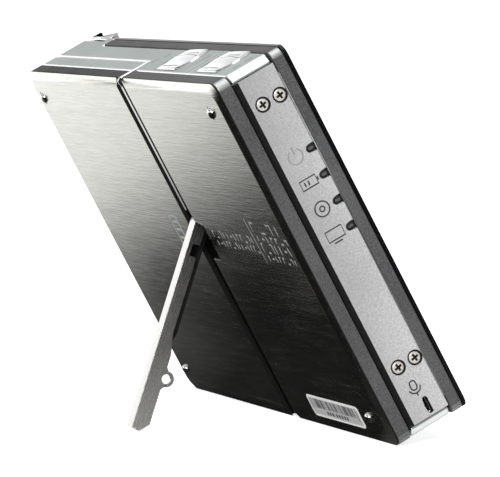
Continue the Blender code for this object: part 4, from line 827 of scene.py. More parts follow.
def panel_with_painted_shade(settings):
    """Painted metal of the side panel, with painted shade that darkens it towards its rear and upper ends."""
    made = painted_metal("side_panel_shaded_paint", settings.panel_silver, 4300.0)
    tree, shader, place = reopened(made)
    low, high = span("side_panel")
    split = axes(tree, place["Object"])
    # Painted shade: darker towards the panel's rear and towards its upper end.
    rear = ranged(tree, split[1], low.y, high.y, 0, 0.3)
    upper = plus(tree, ranged(tree, split[2], high.z - 18 * MM, high.z, 0, 0.1),
                 ranged(tree, split[2], low.z + 8 * MM, low.z + 40 * MM, 0, 0.2))
    shade = plus(tree, rear, upper)
    feed(tree, shader, Base_Color=blended(
        tree, shade, fed(shader, "Base Color"), scaled(settings.panel_silver, 0.3)))
    return made


class PLAYER_OT_back_plates(bpy.types.Operator):
    """Dress the two brushed back plates"""
    bl_idname = "player.back_plates"
    bl_label = "Back plates"

    def execute(self, context):
        settings = context.scene.player_plates
        finish = brushed_metal(
            "brushed_plate_metal", settings.plate, settings.streak_width, settings.streak_length, 0.15,
            depth=0.04 * MM)
        # Painted shade: the plates' side walls get a black finish where their rims fall dark.
        rim = plastic("plate_rim_painted_shade", (0.01, 0.01, 0.01), 0.7, Specular_IOR_Level=0.1)
        for node in ("rear_plate", "battery_plate"):
            piece = dress(node, finish, 0.25 * MM, 3, sharp=BEVEL_ANGLE,
                          where=lambda middle: middle.y > BACK_FACE - 0.1 * MM)
            refinish(piece, rim, lambda polygon: polygon.normal.y < 0.3)
        return {"FINISHED"}


class PLAYER_OT_screen(bpy.types.Operator):
    """Dress the lens, the screen panel and its backlight"""
    bl_idname = "player.screen"
    bl_label = "Screen"

    def execute(self, context):
        dress("screen_lens", lens_glass(), 0.1 * MM, 3)
        paint_node("lcd_panel", plastic("panel_glass_dark", (0.03, 0.035, 0.05), 0.12, 2500.0, 0.001 * MM))
        paint_node("backlight_unit", plastic("diffuser_film", (0.85, 0.86, 0.86), 0.5))
        return {"FINISHED"}


PICTURE_BORDER = 3 * MM


def lens_glass():
    """Black gloss with the screen's picture area showing a shade lighter through it."""
    made, tree, shader, place = started(
        "lens_black_gloss", Specular_IOR_Level=0.2, Coat_Weight=0.1, Coat_Roughness=0.03)
    low, high = span("lcd_panel")
    split = axes(tree, place["Object"])
    inside = []
    for axis in (0, 2):
        half = (high[axis] - low[axis]) / 2 - PICTURE_BORDER
        away = absolute(tree, minus(tree, split[axis], (low[axis] + high[axis]) / 2))
        inside.append(ranged(tree, away, half, half + 0.15 * MM, 1, 0))
    smudge = smudges_on(tree, place, 55.0)
    base = blended(tree, times(tree, *inside), (0.006, 0.006, 0.007), (0.028, 0.031, 0.038))
    feed(tree, shader, Base_Color=dusted(tree, smudge, 0.08, base, (0.4, 0.4, 0.4)),
         Roughness=smeared(tree, smudge, 0.06, 0.11))
    return made


class PLAYER_OT_top_rockers(bpy.types.Operator):
    """Build the two dished rockers of the top face and finish their pins"""
    bl_idname = "player.top_rockers"
    bl_label = "Top rockers"

    def execute(self, context):
        settings = context.scene.player_rockers
        pin = brushed_metal("pin_steel", (0.6, 0.59, 0.57), 0.1 * MM, 2 * MM)
        for number in (1, 2):
            node = f"top_rocker_{number}"
            chrome = shade_lined_chrome(f"rocker_chrome_{number}", settings.chrome, node)
            piece = built_piece(
                f"{node}_cap", lambda shape: top_rocker_shape(shape, node, settings),
                chrome, node, radians(30))
            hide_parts(node)
            paint_node(f"top_rocker_pin_{number}", pin)
        return {"FINISHED"}


# A top rocker: columns and rows of its face, and shares of its half length, width or middle width
ROCKER_STEPS = (56, 60)
BARREL_END_SHARE = 0.803
HOLLOW_SHARES = (-0.46, 1.0)
HOLLOW_BOW = 0.14
MARK_PLACE_SHARES = (-0.56, 0.66)
MARK_HALF_WIDTH = 0.2 * MM
MARK_LENGTH_SHARE = 0.66
CAP_DEPTH = 2.5 * MM
HUB_SHARES = (0.42, 0.28)
HUB_CLEARANCE = 0.7 * MM
FOOT_SHARES = (0.46, 0.72)


def rocker_height(across, along, half_width, half_length, settings):
    """How far the rocker's face lies under its highest point, at shares across and along it."""
    near = min((1 - abs(across)) * half_width, (1 - abs(along)) * half_length)
    drop = settings.crown * ((1 + across) / 2) ** 2
    if near < settings.rim:
        drop += settings.rim - sqrt(settings.rim ** 2 - (settings.rim - near) ** 2)
    start = HOLLOW_SHARES[0] + HOLLOW_BOW * across * across
    reach = (along - start) / (HOLLOW_SHARES[1] - start)
    if 0 < reach < 1:
        drop += settings.dish * sin(pi * reach) ** 2
    for place in MARK_PLACE_SHARES:
        if abs(along - place) * half_length < MARK_HALF_WIDTH and abs(across) < MARK_LENGTH_SHARE:
            drop += settings.groove
    return drop


def top_rocker_shape(shape, node, settings):
    """Barrel-shaped cap with a dished face, two tactile marks, its hub and its feet."""
    low, high = span(node)
    middle = middle_of(node)
    half_length = (high.y - low.y) / 2
    half_middle = (high.x - low.x) / 2
    columns, rows = ROCKER_STEPS
    face = []
    for row in range(rows + 1):
        along = 2 * row / rows - 1
        half_width = half_middle * (BARREL_END_SHARE + (1 - BARREL_END_SHARE) * (1 - along * along))
        line = []
        for column in range(columns + 1):
            across = 2 * column / columns - 1
            drop = rocker_height(across, along, half_width, half_length, settings)
            point = (middle.x + across * half_width, middle.y + along * half_length, high.z - drop)
            line.append(shape.verts.new(point))
        face.append(line)
    for first, second in zip(face, face[1:]):
        for column in range(columns):
            shape.faces.new((first[column], first[column + 1], second[column + 1], second[column]))
    rim = face[0] + [line[-1] for line in face[1:-1]] + face[-1][::-1] + [line[0] for line in face[-2:0:-1]]
    under = high.z - CAP_DEPTH
    skirt = [shape.verts.new((vert.co.x, vert.co.y, under)) for vert in rim]
    for index, vert in enumerate(rim):
        after = (index + 1) % len(rim)
        shape.faces.new((vert, skirt[index], skirt[after], rim[after]))
    shape.faces.new(skirt)
    hub = HUB_SHARES[0] * half_middle
    reach = HUB_SHARES[1] * half_length
    block(
        shape, (middle.x - hub, middle.y - reach, low.z + HUB_CLEARANCE),
        (middle.x + hub, middle.y + reach, under))
    for side in (-1, 1):
        near, far = sorted(side * share * half_length for share in FOOT_SHARES)
        block(shape, (middle.x - hub, middle.y + near, low.z), (middle.x + hub, middle.y + far, under))


class PLAYER_OT_front_rockers(bpy.types.Operator):
    """Dress the four saddle rockers of the front column"""
    bl_idname = "player.front_rockers"
    bl_label = "Front rockers"

    def execute(self, context):
        settings = context.scene.player_rockers
        chrome = plated_metal("saddle_chrome", settings.chrome)
        black = plastic("end_black", (0.003, 0.003, 0.003), 0.6, Specular_IOR_Level=0.0)
        for number in range(1, 5):
            dress(f"front_rocker_{number}", chrome, settings.rim, 3, 2 * MM)
            end_inlay(f"front_rocker_{number}", black)
        paint_node("front_rocker_rod", brushed_metal("rod_steel", (0.6, 0.59, 0.57), 0.1 * MM, 2 * MM))
        return {"FINISHED"}


SADDLE_PEAK = 5.4 * MM
SADDLE_DEPTH = 1.14 * MM
INLAY_REACHES = (-5.6 * MM, 6.25 * MM)
INLAY_RIM = 0.34 * MM
INLAY_THICKNESSES = (0.28 * MM, 1.5 * MM)
INLAY_STEPS = 24


def end_inlay(node, finish):
    """Black wedge in a front rocker's upper end, which follows its saddle and thins out across it."""
    low, high = span(node)
    middle = (low.x + high.x) / 2
    upper = []
    lower = []
    for step in range(INLAY_STEPS + 1):
        along = INLAY_REACHES[1] + (INLAY_REACHES[0] - INLAY_REACHES[1]) * step / INLAY_STEPS
        rise = (1 - cos(pi * min(1, abs(along) / SADDLE_PEAK))) / 2
        crest = low.y + SADDLE_DEPTH * (1 - rise) + INLAY_RIM
        thick = INLAY_THICKNESSES[0] + INLAY_THICKNESSES[1] * max(0, along / INLAY_REACHES[1])
        upper.append((-(middle + along), -crest))
        lower.append((-(middle + along), -(crest + thick)))
    sheet = facing((0, 0, high.z), *FROM_ABOVE)
    print_patch(f"{node}_inlay", upper + lower[::-1], INK_HEIGHT, sheet, finish, node)


class PLAYER_OT_stand(bpy.types.Operator):
    """Dress the leg, its pin and spring, the channel and its bright trim"""
    bl_idname = "player.stand"
    bl_label = "Stand"

    def execute(self, context):
        settings = context.scene.player_stand
        lean = TURN.to_euler().x - radians(JOINTS["stand_hinge"]["range_deg"][0])
        low, high = span("stand_leg")
        inner = (low.x + high.x) / 2
        outside = (high.x - low.x) / 2 - 0.2 * MM
        sheet = dress("stand_leg", leg_finish(settings, lean), settings.sheet_edge, 2, 0.3 * MM,
                      matrix=Matrix.Identity(4), where=lambda middle: abs(middle.x - inner) > outside)
        # Painted shade: the inner face of the leg's far side is made near black, where it lies in shadow.
        shade = plastic("leg_inner_painted_shade", (0.012, 0.012, 0.012), 0.5)
        refinish(sheet, shade, lambda polygon: polygon.normal.x < -0.9 and polygon.center.x > inner)
        black = plastic(
            "channel_black", (0.004, 0.004, 0.004), 0.9, 3600.0, 0.002 * MM, Specular_IOR_Level=0.0)
        leg_pad(black, lean)
        trim = plated_metal("trim_chrome", (0.9, 0.9, 0.9), 0.12)
        channel_beads(trim)
        seam_strip(trim)
        dress("stand_trough", black, 0.12 * MM)
        pin = brushed_metal("hinge_steel", (0.55, 0.54, 0.52), 0.1 * MM, 2 * MM)
        paint_node("stand_pin", pin)
        paint_node("stand_detent_spring", pin)
        return {"FINISHED"}


def leg_finish(settings, lean):
    """Brushed steel of the leg, duller at the foot, with painted shade on its sides near the pivot."""
    made = brushed_metal("leg_steel", settings.steel, 0.16 * MM, 3 * MM, 0.24, 0.04, lean, 0.008 * MM)
    tree, shader, place = reopened(made)
    height = axes(tree, place["Object"])[2]
    side = ranged(tree, absolute(tree, axes(tree, place["Normal"])[0]), 0.6, 0.8, 0, 1)
    # Painted shade: the leg's sides darken towards the pivot.
    shade = times(tree, side, ranged(tree, height, 20 * MM, 40 * MM, 0, 0.25))
    feed(tree, shader, Base_Color=blended(tree, shade, fed(shader, "Base Color"), (0.04, 0.04, 0.04)),
         Metallic=times(tree, ranged(tree, height, 0, 16 * MM, 0.7, 1.0), ranged(tree, side, 0, 1, 1, 0.965)))
    return made


# Distances of the pad from the pivot along the leg and from its web, and its clearance at each side
PAD_PLACE = (4.7 * MM, 7.9 * MM)
PAD_DEPTH = (-0.1 * MM, 1.4 * MM)
PAD_CLEARANCE = 0.85 * MM


def leg_pad(finish, lean):
    """Black pad inside the leg, behind the slot in its near side."""
    low, high = span("stand_leg")
    pivot = Vector((0, *JOINTS["stand_hinge"]["pos_m"][1:]))
    matrix = PLAYER.inverted() @ Matrix.Translation(pivot) @ Matrix.Rotation(lean, 4, "X")

    def build(shape):
        block(shape, (low.x + PAD_CLEARANCE, PAD_DEPTH[0], -PAD_PLACE[1]),
              (high.x - PAD_CLEARANCE, PAD_DEPTH[1], -PAD_PLACE[0]))
        bmesh.ops.transform(shape, matrix=matrix, verts=shape.verts)

    built_piece("leg_pad", build, finish, "stand_leg")


# The two bright beads of the channel: their middle and width along x
BEADS = ((-3.45 * MM, 1.3 * MM), (-5.8 * MM, 0.75 * MM))
BEAD_DEPTH = 1.25 * MM
# Sections of the beads and of the strip: places across and depths under the crest, as shares
FLAT_SECTION = ((-1, 1), (-1, 0.1), (-0.88, 0), (0.88, 0), (1, 0.1), (1, 1))
ROUND_SECTION = (
    (-1, 1), (-1, 0.75), (-0.87, 0.4), (-0.5, 0.1), (0, 0), (0.5, 0.1), (0.87, 0.4), (1, 0.75), (1, 1))


def channel_beads(finish):
    """Bright bead of the channel and the thinner one beside the rear plate, with a black gap between."""
    low, high = span("channel_trim")
    for number, (across, width) in enumerate(BEADS, 1):
        def build(shape):
            bridge(shape, [[
                shape.verts.new((across + share * width / 2, high.y - sunk * BEAD_DEPTH, up))
                for share, sunk in FLAT_SECTION] for up in (low.z, high.z)])

        built_piece(f"channel_bead_{number}", build, finish, "channel_trim")
    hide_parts("channel_trim")


STRIP_WIDTH = 1.0 * MM
STRIP_PROUD = 0.22 * MM
STRIP_DEPTH = 0.35 * MM
STRIP_TURN = 0.9 * MM


def seam_strip(finish):
    """Bright strip that carries the channel's trim over the top edge as far as the module's seam."""
    start = (span("rear_frame")[1].x + span("battery_band")[0].x) / 2
    trim_high = span("channel_trim")[1]
    top = FRAME_HIGH.z + STRIP_PROUD
    bend = span("rear_frame")[1].y - 0.4 * MM
    corner = arc((BACK_FACE - STRIP_TURN, top - STRIP_TURN), STRIP_TURN, 90, 0, 6)
    route = [(span("battery_case")[0].y, top), (bend, top)] + [point for point in corner if point[0] >= bend]
    route.append((trim_high.y + 0.02 * MM, trim_high.z - 1.2 * MM))

    def build(shape):
        rims = []
        for index, (depth, up) in enumerate(route):
            across = start + (BEADS[0][0] - start) * max(0, index - 1) / (len(route) - 2)
            inward = Vector((depth - (BACK_FACE - 3 * MM), up - (top - 3 * MM))).normalized() * STRIP_DEPTH
            rims.append([
                shape.verts.new((
                    across + share * STRIP_WIDTH / 2, depth - sunk * inward.x, up - sunk * inward.y))
                for share, sunk in ROUND_SECTION])
        bridge(shape, rims)

    built_piece("seam_strip", build, finish, "channel_trim")


class PLAYER_OT_screws(bpy.types.Operator):
    """Build the cross-recess screws of the side and the dome screws of the plates"""
    bl_idname = "player.screws"
    bl_label = "Screws"

    def execute(self, context):
        bright = plated_metal("screw_plating", (0.93, 0.90, 0.85), 0.34, 0.45)
        # Painted shade: a black finish for the screws' recesses and the rings round their heads.
        seat = plastic("screw_painted_shade", (0.012, 0.011, 0.01), 0.5)
        polished = plated_metal("dome_plating", (0.9, 0.9, 0.9), 0.1)
        for number in range(1, 5):
            side_screw(f"side_screw_{number}", bright, seat)
            dome_screw(f"plate_screw_{number}", polished)
        return {"FINISHED"}


SIDE_HEAD_RADIUS = 1.12 * MM
SIDE_HEAD_CROWN = 0.2 * MM
SIDE_HEAD_DEPTH = 0.8 * MM
SHADE_RING_RADIUS = 1.48 * MM
SHADE_RING_DEPTHS = (-0.16 * MM, -0.55 * MM)
CROSS_REACH = 0.76 * MM
CROSS_HALF_WIDTH = 0.22 * MM
CROSS_DEPTH = 0.5 * MM
CROSS_TURN = radians(12)


def side_screw(node, finish, dark):
    """Pan screw with its cross recess and a thin ring round its head made black as painted shade, its head level
    with the side panel's face.
    """
    low, high = span(node)
    middle = middle_of(node)
    matrix = facing((low.x, middle.y, middle.z), *FROM_SIDE)
    length = high.x - low.x
    radius = SIDE_HEAD_RADIUS
    dome = [
        (radius * sin(radians(turn)), SIDE_HEAD_CROWN * (cos(radians(turn)) - 1))
        for turn in range(0, 91, 10)]
    shank = 0.5 * radius
    profile = dome + [(radius, -SIDE_HEAD_DEPTH), (shank, -SIDE_HEAD_DEPTH), (shank, -length), (0, -length)]

    def recess(shape):
        for reach in ((CROSS_REACH, CROSS_HALF_WIDTH), (CROSS_HALF_WIDTH, CROSS_REACH)):
            block(shape, (-reach[0], -reach[1], -CROSS_DEPTH), (*reach, MM))
        bmesh.ops.rotate(shape, verts=shape.verts, matrix=Matrix.Rotation(CROSS_TURN, 3, "Z"))
        bmesh.ops.transform(shape, matrix=matrix, verts=shape.verts)

    piece = built_piece(f"{node}_head", lambda shape: lathe(shape, profile, matrix), finish, node)
    cut(piece, mesh_from("cross", recess))
    inward = matrix.inverted()

    def in_cross(polygon):
        place = inward @ polygon.center
        return place.xy.length < CROSS_REACH + 0.05 * MM and -CROSS_DEPTH - 0.01 * MM < place.z < -0.09 * MM

    # Painted shade: the faces inside the cross recess are made black.
    refinish(piece, dark, in_cross)
    # A thin black ring in the counterbore round the head, as painted shade.
    inner = radius + 0.02 * MM
    upper, lower = SHADE_RING_DEPTHS
    shade_ring = [(inner, upper), (SHADE_RING_RADIUS, upper), (SHADE_RING_RADIUS, lower), (inner, lower), (inner, upper)]
    built_piece(f"{node}_collar", lambda shape: lathe(shape, shade_ring, matrix), dark, node)
    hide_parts(node)


DOME_RADIUS = 1.12 * MM
DOME_RISE = 0.72 * MM
DOME_FLAT = 0.1
DOME_RIM = 1.38 * MM
DOME_SEAT = 0.7 * MM
DOME_SHANK = 0.6 * MM


def dome_screw(node, finish):
    """Small polished dome on a thin rim that fills its hole in a plate."""
    middle = middle_of(node)
    proud = BACK_FACE + DOME_RISE
    matrix = facing((middle.x, proud, middle.z), *FROM_BACK)
    dome = [
        (DOME_RADIUS * (DOME_FLAT + (1 - DOME_FLAT) * sin(radians(turn))),
         1.1 * DOME_RISE * (cos(radians(turn)) - 1)) for turn in range(0, 91, 9)]
    length = proud - span(node)[0].y
    seat = -DOME_RISE - DOME_SEAT
    profile = [(0, 0.02 * MM), *dome, (DOME_RIM, dome[-1][1]), (DOME_RIM, seat)]
    profile += [(DOME_SHANK, seat), (DOME_SHANK, -length), (0, -length)]
    piece = built_piece(f"{node}_head", lambda shape: lathe(shape, profile, matrix), finish, node)
    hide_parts(node)


class PLAYER_OT_side_details(bpy.types.Operator):
    """Dress the status lights and print the symbols beside them"""
    bl_idname = "player.side_details"
    bl_label = "Side details"

    def execute(self, context):
        settings = context.scene.player_marks
        pipe = plastic("smoked_pipe", (0.10, 0.10, 0.105), 0.3, *GLOSSY_GRAIN)
        outline = plastic("pipe_rim_black", (0.008, 0.008, 0.008), 0.6, *GLOSSY_GRAIN)
        for number in range(1, 5):
            node = f"status_light_{number}"
            dress(node, pipe, 0.05 * MM, 2, 0.1 * MM)
            light_rim(node, outline)
        paint_node("microphone", plastic("capsule_black", (0.012, 0.012, 0.012), 0.6, *GLOSSY_GRAIN))
        ink = plastic("side_ink", settings.ink, 0.5, *INK_GRAIN)
        faint = plastic("side_ink_faint", (0.33, 0.33, 0.33), 0.5, *INK_GRAIN)
        heights = [middle_of(f"status_light_{number}").z for number in range(1, 5)]
        heights.append(span("microphone")[1].z + 2.2 * MM)
        for (name, lines), height in zip(SYMBOLS.items(), heights):
            sheet = facing((SIDE_FACE, SYMBOL_DEPTH, height), *FROM_SIDE)
            sized = [
                ([(across * SYMBOL_SIZE, up * SYMBOL_SIZE) for across, up in points], closed)
                for points, closed in lines]
            tint = faint if name == "power" else ink
            print_lines(f"mark_{name}", sized, settings.line, sheet, tint, "side_panel")
        return {"FINISHED"}


RIM_INSET = 0.18 * MM
RIM_WIDTH = 0.3 * MM


def light_rim(node, finish):
    """Black rim round the pill of a status light."""
    low, high = span(node)
    middle = middle_of(node)
    round_end = (high.z - low.z) / 2 - RIM_INSET
    straight = (high.y - low.y) / 2 - RIM_INSET - round_end
    ring = arc((straight, 0), round_end, -90, 90, 8) + arc((-straight, 0), round_end, 90, 270, 8)
    sheet = facing((low.x, middle.y, middle.z), *FROM_SIDE)
    print_lines(f"{node}_rim", [(ring, True)], RIM_WIDTH, sheet, finish, node)


SYMBOL_DEPTH = 7.7 * MM
SYMBOL_SIZE = 1.45 * MM
# Plain symbols by the lights and the microphone, as shares of their size: lines and whether they close
SYMBOLS = {
    "power": [(arc((0, 0), 1, 118, 422), False), ([(0, 0.25), (0, 1.35)], False)],
    "battery": [
        (rectangle((0, 0), 2.3, 1.25), True), ([(1.32, -0.25), (1.32, 0.25)], False),
        ([(-0.55, -0.3), (-0.55, 0.3)], False), ([(0, -0.3), (0, 0.3)], False)],
    "disc": [(arc((0, 0), 1, 0, 360)[:-1], True), (arc((0, 0), 0.35, 0, 360, 10)[:-1], True)],
    "screen": [(rectangle((0, 0.15), 2.4, 1.4), True), ([(-0.6, -0.95), (0.6, -0.95)], False)],
    "microphone": [
        (arc((0, 0.45), 0.42, 0, 180, 8) + arc((0, 0), 0.42, 180, 360, 8), True),
        (arc((0, 0), 0.85, 190, 350, 10), False), ([(0, -0.85), (0, -1.25)], False)],
}


class PLAYER_OT_top_details(bpy.types.Operator):
    """Print the thin lines and the plain arrows between the top rockers"""
    bl_idname = "player.top_details"
    bl_label = "Top details"

    def execute(self, context):
        settings = context.scene.player_marks
        sheet = facing((0, 0, FRAME_HIGH.z), *FROM_ABOVE)
        pale = plastic("pale_ink", (0.75, 0.77, 0.76), 0.35, *INK_GRAIN)
        ink = plastic("top_ink", (0.10, 0.11, 0.11), 0.5, *INK_GRAIN)
        front = span("front_bezel")[1].y + 0.3 * MM
        back = FRAME_HIGH.y - 0.6 * MM
        lines = [([(-place, -back), (-place, -front)], False) for place in DIVIDERS]
        print_lines("mark_dividers", lines[:2], 0.8 * settings.line, sheet, pale, "middle_frame")
        print_lines("mark_divider_dark", lines[2:], 0.8 * settings.line, sheet, ink, "middle_frame")
        arrows = []
        for across, depth, way in TOP_MARKS:
            size = 0.75 * MM * way
            centre = (-across, -depth)
            arrows.append(([
                (centre[0] - size, centre[1] - abs(size)), (centre[0] - size, centre[1] + abs(size)),
                (centre[0] + size, centre[1])], True))
        print_lines("mark_arrows", arrows, 0.6 * settings.line, sheet, ink, "middle_frame")
        return {"FINISHED"}


DIVIDERS = (-35.4 * MM, -37.4 * MM, -36.5 * MM)
TOP_MARKS = (
    (-33.7 * MM, 6.0 * MM, 1), (-57.4 * MM, 8.7 * MM, -1), (-58.1 * MM, 6.0 * MM, 1),
    (-9.5 * MM, 6.1 * MM, 1), (-6.9 * MM, 8.3 * MM, -1))


class PLAYER_OT_back_details(bpy.types.Operator):
    """Put the plain sticker and the printed lines on the back plates"""
    bl_idname = "player.back_details"
    bl_label = "Back details"

    def execute(self, context):
        sheet = facing((0, BACK_FACE, 0), *FROM_BACK)
        white = plastic("sticker_white", (0.82, 0.83, 0.82), 0.3, 2600.0, 0.002 * MM, Coat_Weight=0.3)
        ink = plastic("sticker_ink", (0.05, 0.05, 0.05), 0.4, 5200.0, 0.001 * MM)
        grey = plastic("plate_ink", (0.27, 0.27, 0.27), 0.4, *INK_GRAIN)
        blue_grey = plastic("badge_ink", (0.33, 0.36, 0.38), 0.4, *INK_GRAIN)
        sticker(sheet, white, ink)
        print_lines("mark_rows", text_rows(), 0.42 * MM, sheet, grey, "rear_plate")
        print_lines("mark_rule", [(PATCH_RULE, False)], 0.25 * MM, sheet, grey, "rear_plate")
        badge = [(rectangle((-7.6 * MM, 42 * MM), 4.2 * MM, 6.2 * MM), True)]
        badge += [([(-9.0 * MM, up), (-6.2 * MM, up)], False) for up in (40.2 * MM, 42 * MM, 43.8 * MM)]
        print_lines("mark_badge", badge, 0.62 * MM, sheet, blue_grey, "battery_plate")
        return {"FINISHED"}


STICKER_CENTRE = (35 * MM, 5.1 * MM)
STICKER_SIZE = (28.4 * MM, 4.7 * MM)
STICKER_CORNER = 0.9 * MM
STICKER_THICKNESS = 0.06 * MM
BAR_UNIT = 0.27 * MM
BAR_SHARES = (1, 2, 1, 1, 3, 1, 2, 1, 1, 2, 3, 1, 1, 2, 1, 3, 1, 1, 2, 1, 1, 3, 2, 1, 1, 2, 1)
DASH_STARTS = (-6, -4.5, -3, -1, 0.5, 2, 3.5, 5)


def sticker(sheet, white, ink):
    """Plain white sticker with a grey field, side strokes, a row of bars and a row of dashes."""
    width, height = STICKER_SIZE
    base = sheet @ Matrix.Translation((*STICKER_CENTRE, 0))
    raised = base @ Matrix.Translation((0, 0, STICKER_THICKNESS))

    def outline(inset):
        points = []
        for across, up, start in ((1, -1, -90), (1, 1, 0), (-1, 1, 90), (-1, -1, 180)):
            centre = (across * (width / 2 - STICKER_CORNER), up * (height / 2 - STICKER_CORNER))
            points += arc(centre, STICKER_CORNER - inset, start, start + 90, 5)
        return points

    print_patch("sticker", outline(0), STICKER_THICKNESS, base, white, "rear_plate")
    field = plastic("sticker_grey", (0.44, 0.44, 0.44), 0.4, 2600.0, 0.002 * MM)
    print_patch("sticker_field", outline(0.5 * MM), 0.5 * INK_HEIGHT, raised, field, "rear_plate")
    edges = [([(side * 12.6 * MM, shift), (side * 12.6 * MM, shift + 2.2 * MM)], False)
             for side, shift in ((-1, -0.5 * MM), (1, -0.9 * MM))]
    print_lines("sticker_edges", edges, 0.4 * MM, raised, ink, "rear_plate")
    bars = []
    across = 3 * MM - width / 2
    for index, share in enumerate(BAR_SHARES * 2):
        if index % 2 == 0:
            first = across + BAR_UNIT / 2
            bars += [([(first + step * BAR_UNIT, -0.3 * MM), (first + step * BAR_UNIT, 1.75 * MM)], False)
                     for step in range(share)]
        across += share * BAR_UNIT
    print_lines("sticker_bars", bars, BAR_UNIT, raised, ink, "rear_plate")
    dashes = [([(start * MM, -1.1 * MM), ((start + 0.9) * MM, -1.1 * MM)], False) for start in DASH_STARTS]
    print_lines("sticker_rule", dashes, 0.8 * MM, raised, ink, "rear_plate")


# Rows of the printed patch: height, start and end across, height of the marks and their pitch
PATCH_ROWS = (
    (45.5, 41.9, 58.5, 2.0, 4.6), (43.2, 42.4, 58.0, 1.0, 2.6), (41.2, 42.6, 59.2, 1.9, 2.5),
    (39.0, 43.2, 58.6, 1.1, 2.1), (42.5, 14.8, 38.0, 1.3, 2.1), (40.5, 15.2, 38.8, 1.1, 1.8))
# Plain strokes of the patch: points as shares of a mark's width and height
PATCH_MARKS = (
    ((0, -0.5), (0, 0.5), (0.8, 0.5)), ((0, 0.5), (0.5, -0.5)), ((0, 0), (1, 0)), ((0.2, -0.5), (0.2, 0.5)),
    ((0, 0.5), (0.9, 0.5), (0.9, -0.5)), ((0, -0.5), (1, -0.5)))
PATCH_RULE = ((39.7 * MM, 47.2 * MM), (40.6 * MM, 37.6 * MM))


def text_rows():
    """Rows of short plain strokes in the printed patch of the rear plate."""
    lines = []
    for row, (up, start, end, tall, pitch) in enumerate(PATCH_ROWS):
        for index in range(int((end - start) / pitch) + 1):
            mark = PATCH_MARKS[(index * 5 + row * 3 + index // 4) % len(PATCH_MARKS)]
            across = start + index * pitch
            lines.append(([((across + x * 0.5 * pitch) * MM, (up + z * tall) * MM) for x, z in mark], False))
    return lines


class PLAYER_OT_sockets(bpy.types.Operator):
    """Dress the sockets of the far side with their bright rings"""
    bl_idname = "player.sockets"
    bl_label = "Sockets"

    def execute(self, context):
        black = plastic("socket_black", (0.02, 0.02, 0.022), 0.35)
        ring = plated_metal("socket_ring", (0.85, 0.83, 0.78), 0.18)
        for node, bore in SOCKET_BORES.items():
            dress(node, black, 0.15 * MM)
            middle = middle_of(node)
            matrix = facing((span(node)[1].x, middle.y, middle.z), *FROM_FAR_SIDE)
            profile = [
                (bore, 0.08 * MM), (bore + 0.32 * MM, 0.08 * MM), (bore + 0.4 * MM, 0),
                (bore + 0.4 * MM, -0.1 * MM), (bore - 0.05 * MM, -0.1 * MM), (bore - 0.05 * MM, 0),
                (bore, 0.08 * MM)]
            built_piece(f"{node}_ring", lambda shape: lathe(shape, profile, matrix), ring, node)
        dress("usb_port", ring, 0.12 * MM)
        usb_tongue(black)
        return {"FINISHED"}


SOCKET_BORES = {"headphone_jack": 1.75 * MM, "av_jack": 1.75 * MM, "dc_jack": 1.1 * MM}


def usb_tongue(finish):
    """Black tongue inside the flat socket."""
    low, high = span("usb_port")
    middle = (low + high) / 2
    built_piece("usb_tongue", lambda shape: block(
        shape, (high.x - 5.5 * MM, middle.y - 0.3 * MM, middle.z - 2.1 * MM),
        (high.x - 0.8 * MM, middle.y + 0.25 * MM, middle.z + 2.1 * MM)), finish, "usb_port")


class PLAYER_OT_inside(bpy.types.Operator):
    """Finish the boards, the drive, the cells and the other pieces inside"""
    bl_idname = "player.inside"
    bl_label = "Inside"

    def execute(self, context):
        board = circuit_board("board_green", (0.012, 0.11, 0.045))
        chip = plastic("chip_epoxy", (0.025, 0.025, 0.028), 0.5, 3000.0, 0.004 * MM)
        tin = brushed_metal("tinned_steel", (0.62, 0.63, 0.64), 0.2 * MM, 4 * MM)
        rubber = plastic("soft_rubber", (0.025, 0.025, 0.025), 0.75, 2200.0, 0.02 * MM)
        black = plastic("inner_black", (0.02, 0.02, 0.022), 0.45)
        wrap = plastic("cell_wrap_blue", (0.06, 0.16, 0.36), 0.3, 1500.0, 0.006 * MM, Coat_Weight=0.4)
        gold = plated_metal("contact_gold_plating", (0.85, 0.62, 0.25), 0.2)
        finishes = {
            board: (
                "main_board", "video_board", "control_board", "top_switch_board", "light_board",
                "jack_board"),
            chip: ("decoder_chip", "processor_chip"),
            tin: ("hard_drive", "shield_can"),
            rubber: ("body_gasket", "drive_rail_lower", "drive_rail_upper"),
            black: ("contact_block", "speaker"),
            wrap: ("battery_cell_1", "battery_cell_2"),
            gold: ("battery_contacts",),
        }
        for finish, nodes in finishes.items():
            for node in nodes:
                paint_node(node, finish)
        return {"FINISHED"}


class PLAYER_OT_stage(bpy.types.Operator):
    """Add the floor, the lights and the camera"""
    bl_idname = "player.stage"
    bl_label = "Stage"

    def execute(self, context):
        settings = context.scene.player_stage
        floor_disc(settings)
        surroundings(settings)
        soft_light("top_light", settings.top_light, 0.6, (-0.18, 0.17, 0.9), (0, 0, 0.05))
        soft_light("side_light", settings.side_light, 0.5, (-0.75, 0.5, 0.4), (0, 0, 0.04))
        view_camera(settings)
        context.scene.view_settings.view_transform = "Standard"
        return {"FINISHED"}


FLOOR_RADIUS = 14.0
CAMERA_PLACE = (-0.81045, 0.26662, 0.09788)
CAMERA_AIM = (-0.00106, -0.00329, 0.03548)
CAMERA_ROLL = radians(-2.444)
# Painted reflection: how light the floor mirrors in the player, by its distance along x, with a painted
# shadow under the player, as beneath any large object on a table, and light beside it
PAINTED_FLOOR_REFLECTION = (
    (-0.6, 0.01), (-0.35, 0.05), (-0.2, 0.2), (-0.09, 0.34), (-0.05, 0.006), (0.035, 0.01), (0.06, 0.033),
    (0.085, 0.058), (0.105, 0.12), (0.13, 0.25), (0.17, 0.48), (0.21, 0.76), (0.26, 0.9), (0.5, 1.3))


